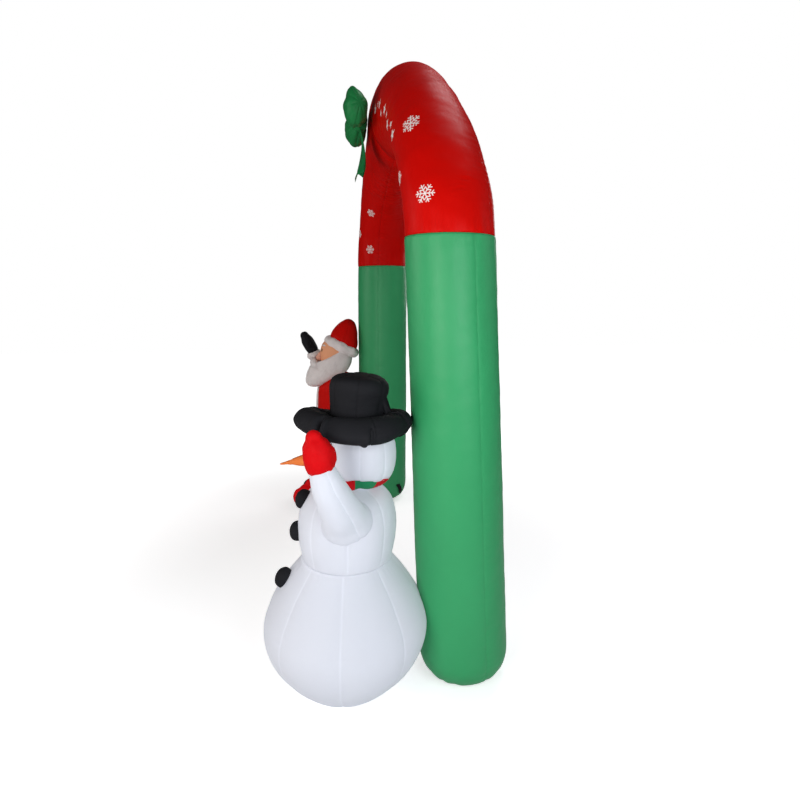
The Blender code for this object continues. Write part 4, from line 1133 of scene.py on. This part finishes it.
def figure_face(head, beard):
    """Nose, printed eyes and brows, and a curled moustache."""
    smooth_tube("figure_nose", round_ended(stations(elf, (
        (0, -0.502, 1.176, 0.024, 0.022), (0, -0.514, 1.154, 0.028, 0.026)))), NOSE, around=32,
        spacing=0.004, soft=0.0003)
    for name, outline, (x, y, z), finish, thick in (
            ("figure_eye_print", oval_outline(0.0090, 0.0130), (0.050, -0.490, 1.218), DARK_PRINT,
             0.0006),
            ("figure_brow_print", brow_outline(0.026, 0.007, 0.008), (0.052, -0.474, 1.244), FLEECE,
             0.0016)):
        marks = [(outline, elf(side * x, y, z), (0, 0, 1)) for side in (-1, 1)]
        printed(name, marks, head, finish, 0.005, thick)
    curl = ((0.000, -0.552, 1.122, 0.024), (0.026, -0.556, 1.120, 0.030),
            (0.056, -0.550, 1.108, 0.030), (0.088, -0.532, 1.090, 0.021),
            (0.110, -0.516, 1.078, 0.009))
    smooth_tube("figure_moustache", [
        (elf(side * x, y, z), r, r * 1.08) for side, x, y, z, r in
        [(-1,) + p for p in reversed(curl)] + [(1,) + p for p in curl[1:]]],
        FLEECE, around=28, side=(0, 1, 0), spacing=0.005, press=(beard,))


def figure_arms(coat, beard):
    """The near arm hangs, the far one is raised, each with a fleece cuff and a black mitten."""
    smooth_tube("figure_arm_near", round_ended(stations(elf, (
        (0.150, -0.360, 0.900, 0.066, 0.060), (0.208, -0.372, 0.855, 0.064, 0.060),
        (0.252, -0.388, 0.775, 0.058, 0.056), (0.272, -0.410, 0.695, 0.055, 0.053)))), COAT_RED,
        around=64, side=(0, 1, 0), flare=(coat, 0.022, 0.014), seed=160, spacing=0.006,
        pleats=slack(0.45, math.pi))
    smooth_tube("figure_arm_far", round_ended(stations(elf, (
        (-0.140, -0.365, 0.905, 0.062), (-0.198, -0.385, 0.920, 0.062),
        (-0.232, -0.440, 0.965, 0.058), (-0.232, -0.500, 1.050, 0.054),
        (-0.226, -0.540, 1.125, 0.050)))), COAT_RED, around=64, flare=(coat, 0.022, 0.014),
        press=(beard,), seed=161, spacing=0.006, pleats=slack(0.36, math.pi / 2))
    cuff("figure_cuff_near", elf(0.280, -0.419, 0.656), (0.08, -0.25, -1), 0.060)
    cuff("figure_cuff_far", elf(-0.224, -0.556, 1.160), (0.02, -0.45, 1), 0.058)
    mitten("figure_mitten_near", elf, (
        (0.281, -0.424, 0.650, 0.044), (0.282, -0.428, 0.634, 0.048), (0.285, -0.440, 0.590, 0.053),
        (0.288, -0.450, 0.546, 0.050), (0.290, -0.458, 0.510, 0.036)),
        ((0.284, -0.470, 0.592, 0.022), (0.285, -0.492, 0.566, 0.020)), (0, -1, 0), BLACK, 0.0006)
    mitten("figure_mitten_far", elf, (
        (-0.222, -0.556, 1.174, 0.049), (-0.222, -0.564, 1.190, 0.054),
        (-0.222, -0.590, 1.236, 0.060), (-0.222, -0.616, 1.282, 0.056),
        (-0.222, -0.636, 1.318, 0.040)),
        ((-0.185, -0.592, 1.222, 0.024), (-0.163, -0.604, 1.250, 0.021)), (1, 0, 0), BLACK, 0.0006)


def cuff(name, centre, direction, radius):
    """A fleece ring round a wrist."""
    way = unit(np.array(direction))
    section = ((-0.030, 0.78), (-0.024, 0.94), (-0.010, 1.06), (0.006, 1.06), (0.020, 0.94),
               (0.026, 0.74))
    smooth_tube(name, [(centre + way * h, radius * r, radius * r) for h, r in section], FLEECE,
                around=90, spacing=0.004, size=0.025, soft=0.0016)


def roll(name, centre, rx, ry, thick, high, lean_back, behind):
    """A puffed fleece roll on an oval, flat against what is behind it."""
    a, b = even(240)[:, None], even(40)[None, :]
    puff = 1 + 0.05 * np.cos(8 * a) + 0 * b
    x = rx * np.cos(a) + np.cos(a) * thick * puff * np.cos(b)
    y = ry * np.sin(a) + np.sin(a) * thick * puff * np.cos(b)
    rows = centre + tip_x(np.stack((x, y, high * puff * np.sin(b)), axis=-1), -lean_back)
    lumps = 0.0022 * waves(rows, 0.050, 5) + 0.0010 * waves(rows, 0.018, 6)
    rows = rows + lumps[..., None] * unit(rows - rows.mean(axis=1, keepdims=True))
    placed(ring_mesh(name + "_skin", pressed(rows, behind)), FLEECE, name)


def coat_folds(rows, angles):
    """Gathers where the coat goes into its hem, long soft folds above them."""
    _, girth, along = lengths(rows)
    v = (angles / TURN)[None, :] * girth[:, None]
    hem = -0.0055 * np.exp(-along / 0.055) * pucker(v, 0.062, 6)
    long = 0.0030 * np.exp(-along / 0.22) * np.sin(7 * angles[None, :] + 9 * along)
    return hem + long


def hat_folds(rows, angles):
    """Gathers over the trim, a seam up each side and slack cloth towards the tip."""
    _, _, along = lengths(rows)
    relief = -0.0040 * np.exp(-along / 0.045) * pucker(angles[None, :] * 0.12, 0.058, 8)
    for seam in (0.0, math.pi):
        off = np.abs(past(angles, seam))[None, :] * 0.09
        relief = relief - 0.0018 * np.exp(-off / 0.004)
    tip = np.clip((1 - share_along(rows)) * 6, 0, 1)
    return (relief + 0.0022 * waves(rows, 0.09, 12)) * tip


def beard_locks(rows, angles):
    """Soft locks that run down the beard and part towards its end."""
    share = share_along(rows)
    turn = angles[None, :] + 0.22 * np.sin(5.0 * share + 2 * angles[None, :])
    front = np.clip(0.35 - np.sin(angles), 0, 1)[None, :]
    grooves = (1 - np.abs(np.sin(6.5 * turn))) ** 2
    depth = 0.0045 * np.clip(share * 2.2 - 0.5, 0, 1) * np.clip((1 - share) * 7, 0, 1)
    return -depth * front * grooves + 0.0014 * waves(rows, 0.035, 15)


def trouser_folds(rows, angles):
    """Slack cloth over the boot: two uneven folds round the leg."""
    _, _, along = lengths(rows)
    relief = np.zeros(rows.shape[:2])
    for at, ahead in ((0.055, 0.4), (0.105, 2.6)):
        off = along - at - 0.012 * np.sin(angles + ahead)[None, :]
        strength = 0.65 + 0.35 * np.sin(2 * angles + ahead)[None, :]
        relief -= 0.0045 * strength * np.exp(-np.abs(off / 0.009) ** 1.5)
    return relief


# ---------------------------------------------------------------- the bow
def bow(crown):
    smooth_tube("bow_knot", round_ended(stations(world, (
        (0, KNOT_Y + 0.004, BOW_Z - 0.028, 0.044), (0, KNOT_Y, BOW_Z, 0.050),
        (0, KNOT_Y + 0.004, BOW_Z + 0.028, 0.044)))), BOW_GREEN, around=48, spacing=0.005,
        press=(crown,), seed=170)
    bow_loop("bow_loop_near", 1, 0.0, 0.0, crown)
    bow_loop("bow_loop_far", -1, 0.045, -0.006, crown)
    for name, side, low, spread, twist, hang, flat, area in (
            ("bow_tail_near", 1, 2.352, 0.110, 24, (0.018, 0.90, 0.013), (0.112, 0.36), 0.033),
            ("bow_tail_far", -1, 2.440, 0.120, -14, (0.031, 1.15, 0.0), (0.112, 0.28), 0.024)):
        tail = bow_tail(name, side, low, spread, math.radians(twist), hang)


def bow_loop(name, side, back, drop, crown):
    """A puffed loop, pleated where it goes into the knot and drawn to an edge on top."""
    run = ((0.026, 0.000, 0.000, 0.032, 0.032), (0.070, -0.012, 0.001, 0.064, 0.050),
           (0.120, -0.026, 0.002, 0.092, 0.062), (0.175, -0.036, 0.002, 0.108, 0.070),
           (0.225, -0.038, 0.000, 0.110, 0.070), (0.268, -0.034, -0.004, 0.097, 0.061),
           (0.298, -0.028, -0.006, 0.066, 0.043), (BOW_REACH, -0.024, -0.007, 0.028, 0.020))
    run = stations(world, [
        (side * x, KNOT_Y + y + back * x / BOW_REACH, BOW_Z + z - drop * x / BOW_REACH, high, deep)
        for x, y, z, high, deep in run])
    angles = even(112)
    rows = refined(tube_rows(run, angles, (0, 0, 1)), 0.006)
    up = rows[..., 2:] - rows[..., 2:].mean(axis=1, keepdims=True)
    share = np.clip(up / 0.110, 0, 1)
    middle = rows[..., 1:2].mean(axis=1, keepdims=True)
    rows[..., 1:2] = middle + (rows[..., 1:2] - middle) * (1 - 0.40 * share ** 1.6) - 0.028 * share ** 2
    along = share_along(rows)
    deep = 0.0105 * np.exp(-along / 0.42) * np.clip(along / 0.06, 0, 1) + 0.0016
    turn = angles[None, :] + 0.10 * np.sin(3 * angles[None, :] + side) * (1 - along)
    pleats = deep * (np.abs(np.cos(4.5 * turn)) ** 0.8 - 0.75)
    edge = -0.0035 * np.exp(-((angles[None, :] - math.pi * 0.97) / 0.05) ** 2)
    rows = raised(rows, pleats, edge * np.clip(along * 3, 0, 1), 0.0022 * waves(rows, 0.070, 172 + side))
    sewn(name, pressed(rows, crown), BOW_GREEN)


def bow_tail(name, side, low, spread, twist, hang):
    """A ribbon that hangs from the knot: it turns a little, swings back and then forward."""
    steps, wide = 40, 12
    top, thick = BOW_Z - 0.050, 0.0016
    swing, back_at, kick = hang
    points = []
    for layer in (0, 1):
        for t in np.linspace(0, 1, steps + 1):
            half = 0.022 + 0.034 * min(1.0, t * 1.6)
            y = KNOT_Y + 0.002 + swing * math.sin(math.pi * t / back_at) - kick * t ** 3
            turn = twist * min(1.0, t * 1.3) ** 1.2
            face = np.array((math.sin(turn), -math.cos(turn), 0))
            along = np.array((math.cos(turn), math.sin(turn), 0))
            for w in np.linspace(-1, 1, wide + 1):
                belly = 0.012 * math.cos(2.2 * w + 3 * t) * (0.3 + t) - thick * layer
                middle = world(side * (0.012 + spread * t), y, top + (low - top) * t + 0.020 * t * w)
                points.append(middle + along * w * half - face * belly)
    obj = outward(mesh_object(name + "_skin", points, two_layers(steps, wide)))
    return placed(obj, BOW_GREEN, name)


def two_layers(steps, wide):
    """Faces of a sheet of steps by wide quads and its back, joined round the rim."""
    size = (steps + 1) * (wide + 1)
    faces = []
    for k in range(steps):
        for j in range(wide):
            a = k * (wide + 1) + j
            quad = (a, a + 1, a + wide + 2, a + wide + 1)
            faces += [quad, tuple(v + size for v in reversed(quad))]
    rim = ([(0, j) for j in range(wide)] + [(k, wide) for k in range(steps)]
           + [(steps, j) for j in range(wide, 0, -1)] + [(k, 0) for k in range(steps, 0, -1)])
    rim = [k * (wide + 1) + j for k, j in rim]
    for a, b in zip(rim, rim[1:] + rim[:1]):
        faces.append((b, a, a + size, b + size))
    return faces


# ---------------------------------------------------------------- studio
def add_camera(scene):
    camera = bpy.data.objects.new("camera", bpy.data.cameras.new("camera"))
    scene.collection.objects.link(camera)
    scene.camera = camera
    camera.location = world(*EYE)
    look = Vector((-math.cos(LOOK_TURN), math.sin(LOOK_TURN), 0))
    camera.rotation_euler = look.to_track_quat("-Z", "Y").to_euler()
    camera.data.sensor_width = 36
    camera.data.lens = FOCAL / IMAGE * 36
    camera.data.shift_y = -(IMAGE / 2 - HORIZON) / IMAGE


def add_floor():
    """A pale floor that runs out to white, so that it has no edge against the white behind."""
    reach, z = 14, -0.0005
    corners = [(-reach, -reach, z), (reach, -reach, z), (reach, reach, z), (-reach, reach, z)]
    floor = mesh_object("floor", corners, [(0, 1, 2, 3)])
    mat, t, where = new_material("floor")
    away = node(t, "ShaderNodeVectorMath", {0: where}, operation="LENGTH").outputs["Value"]
    ramp = node(t, "ShaderNodeMapRange", {"Value": away, "From Min": 0.8, "From Max": 3.6,
                                          "To Min": 0.55, "To Max": 1.0},
                interpolation_type="SMOOTHSTEP")
    seen = node(t, "ShaderNodeLightPath").outputs["Is Camera Ray"]
    feed(t.nodes["Principled BSDF"], {
        "Base Color": (0.85, 0.85, 0.86, 1), "Roughness": 0.9, "Specular IOR Level": 0.0,
        "Emission Color": (1, 1, 1, 1),
        "Emission Strength": calc(t, "MULTIPLY", ramp.outputs[0], seen)})
    floor.data.materials.append(mat)


def add_lights(scene):
    for name, place, aim, size, watts, tint in LIGHTS:
        light = bpy.data.lights.new(name, "AREA")
        light.shape, light.size, light.energy, light.color = "DISK", size, watts, tint
        obj = bpy.data.objects.new(name, light)
        obj.location = place
        obj.rotation_euler = (Vector(aim) - Vector(place)).to_track_quat("-Z", "Y").to_euler()
        scene.collection.objects.link(obj)


def studio():
    """Camera, floor, lights, and a white world that lights the object only a little."""
    scene = bpy.context.scene
    add_camera(scene)
    add_floor()
    add_lights(scene)
    scene.world = bpy.data.worlds.new("studio")
    scene.world.use_nodes = True
    t = scene.world.node_tree
    seen = node(t, "ShaderNodeLightPath").outputs["Is Camera Ray"]
    strength = calc(t, "ADD", calc(t, "MULTIPLY", seen, 0.95), 0.05)
    feed(t.nodes["Background"], {0: (1, 1, 1, 1), 1: strength})
    scene.view_settings.view_transform = "Standard"


leg_near = leg("leg_near", 1)
leg_far = leg("leg_far", -1)
crown = arch_top()
stake_loop("stake_loop_near", 1)
stake_loop("stake_loop_far", -1)
arch_prints(crown)
bow(crown)
snowman(leg_near)
father_christmas(leg_far)
studio()
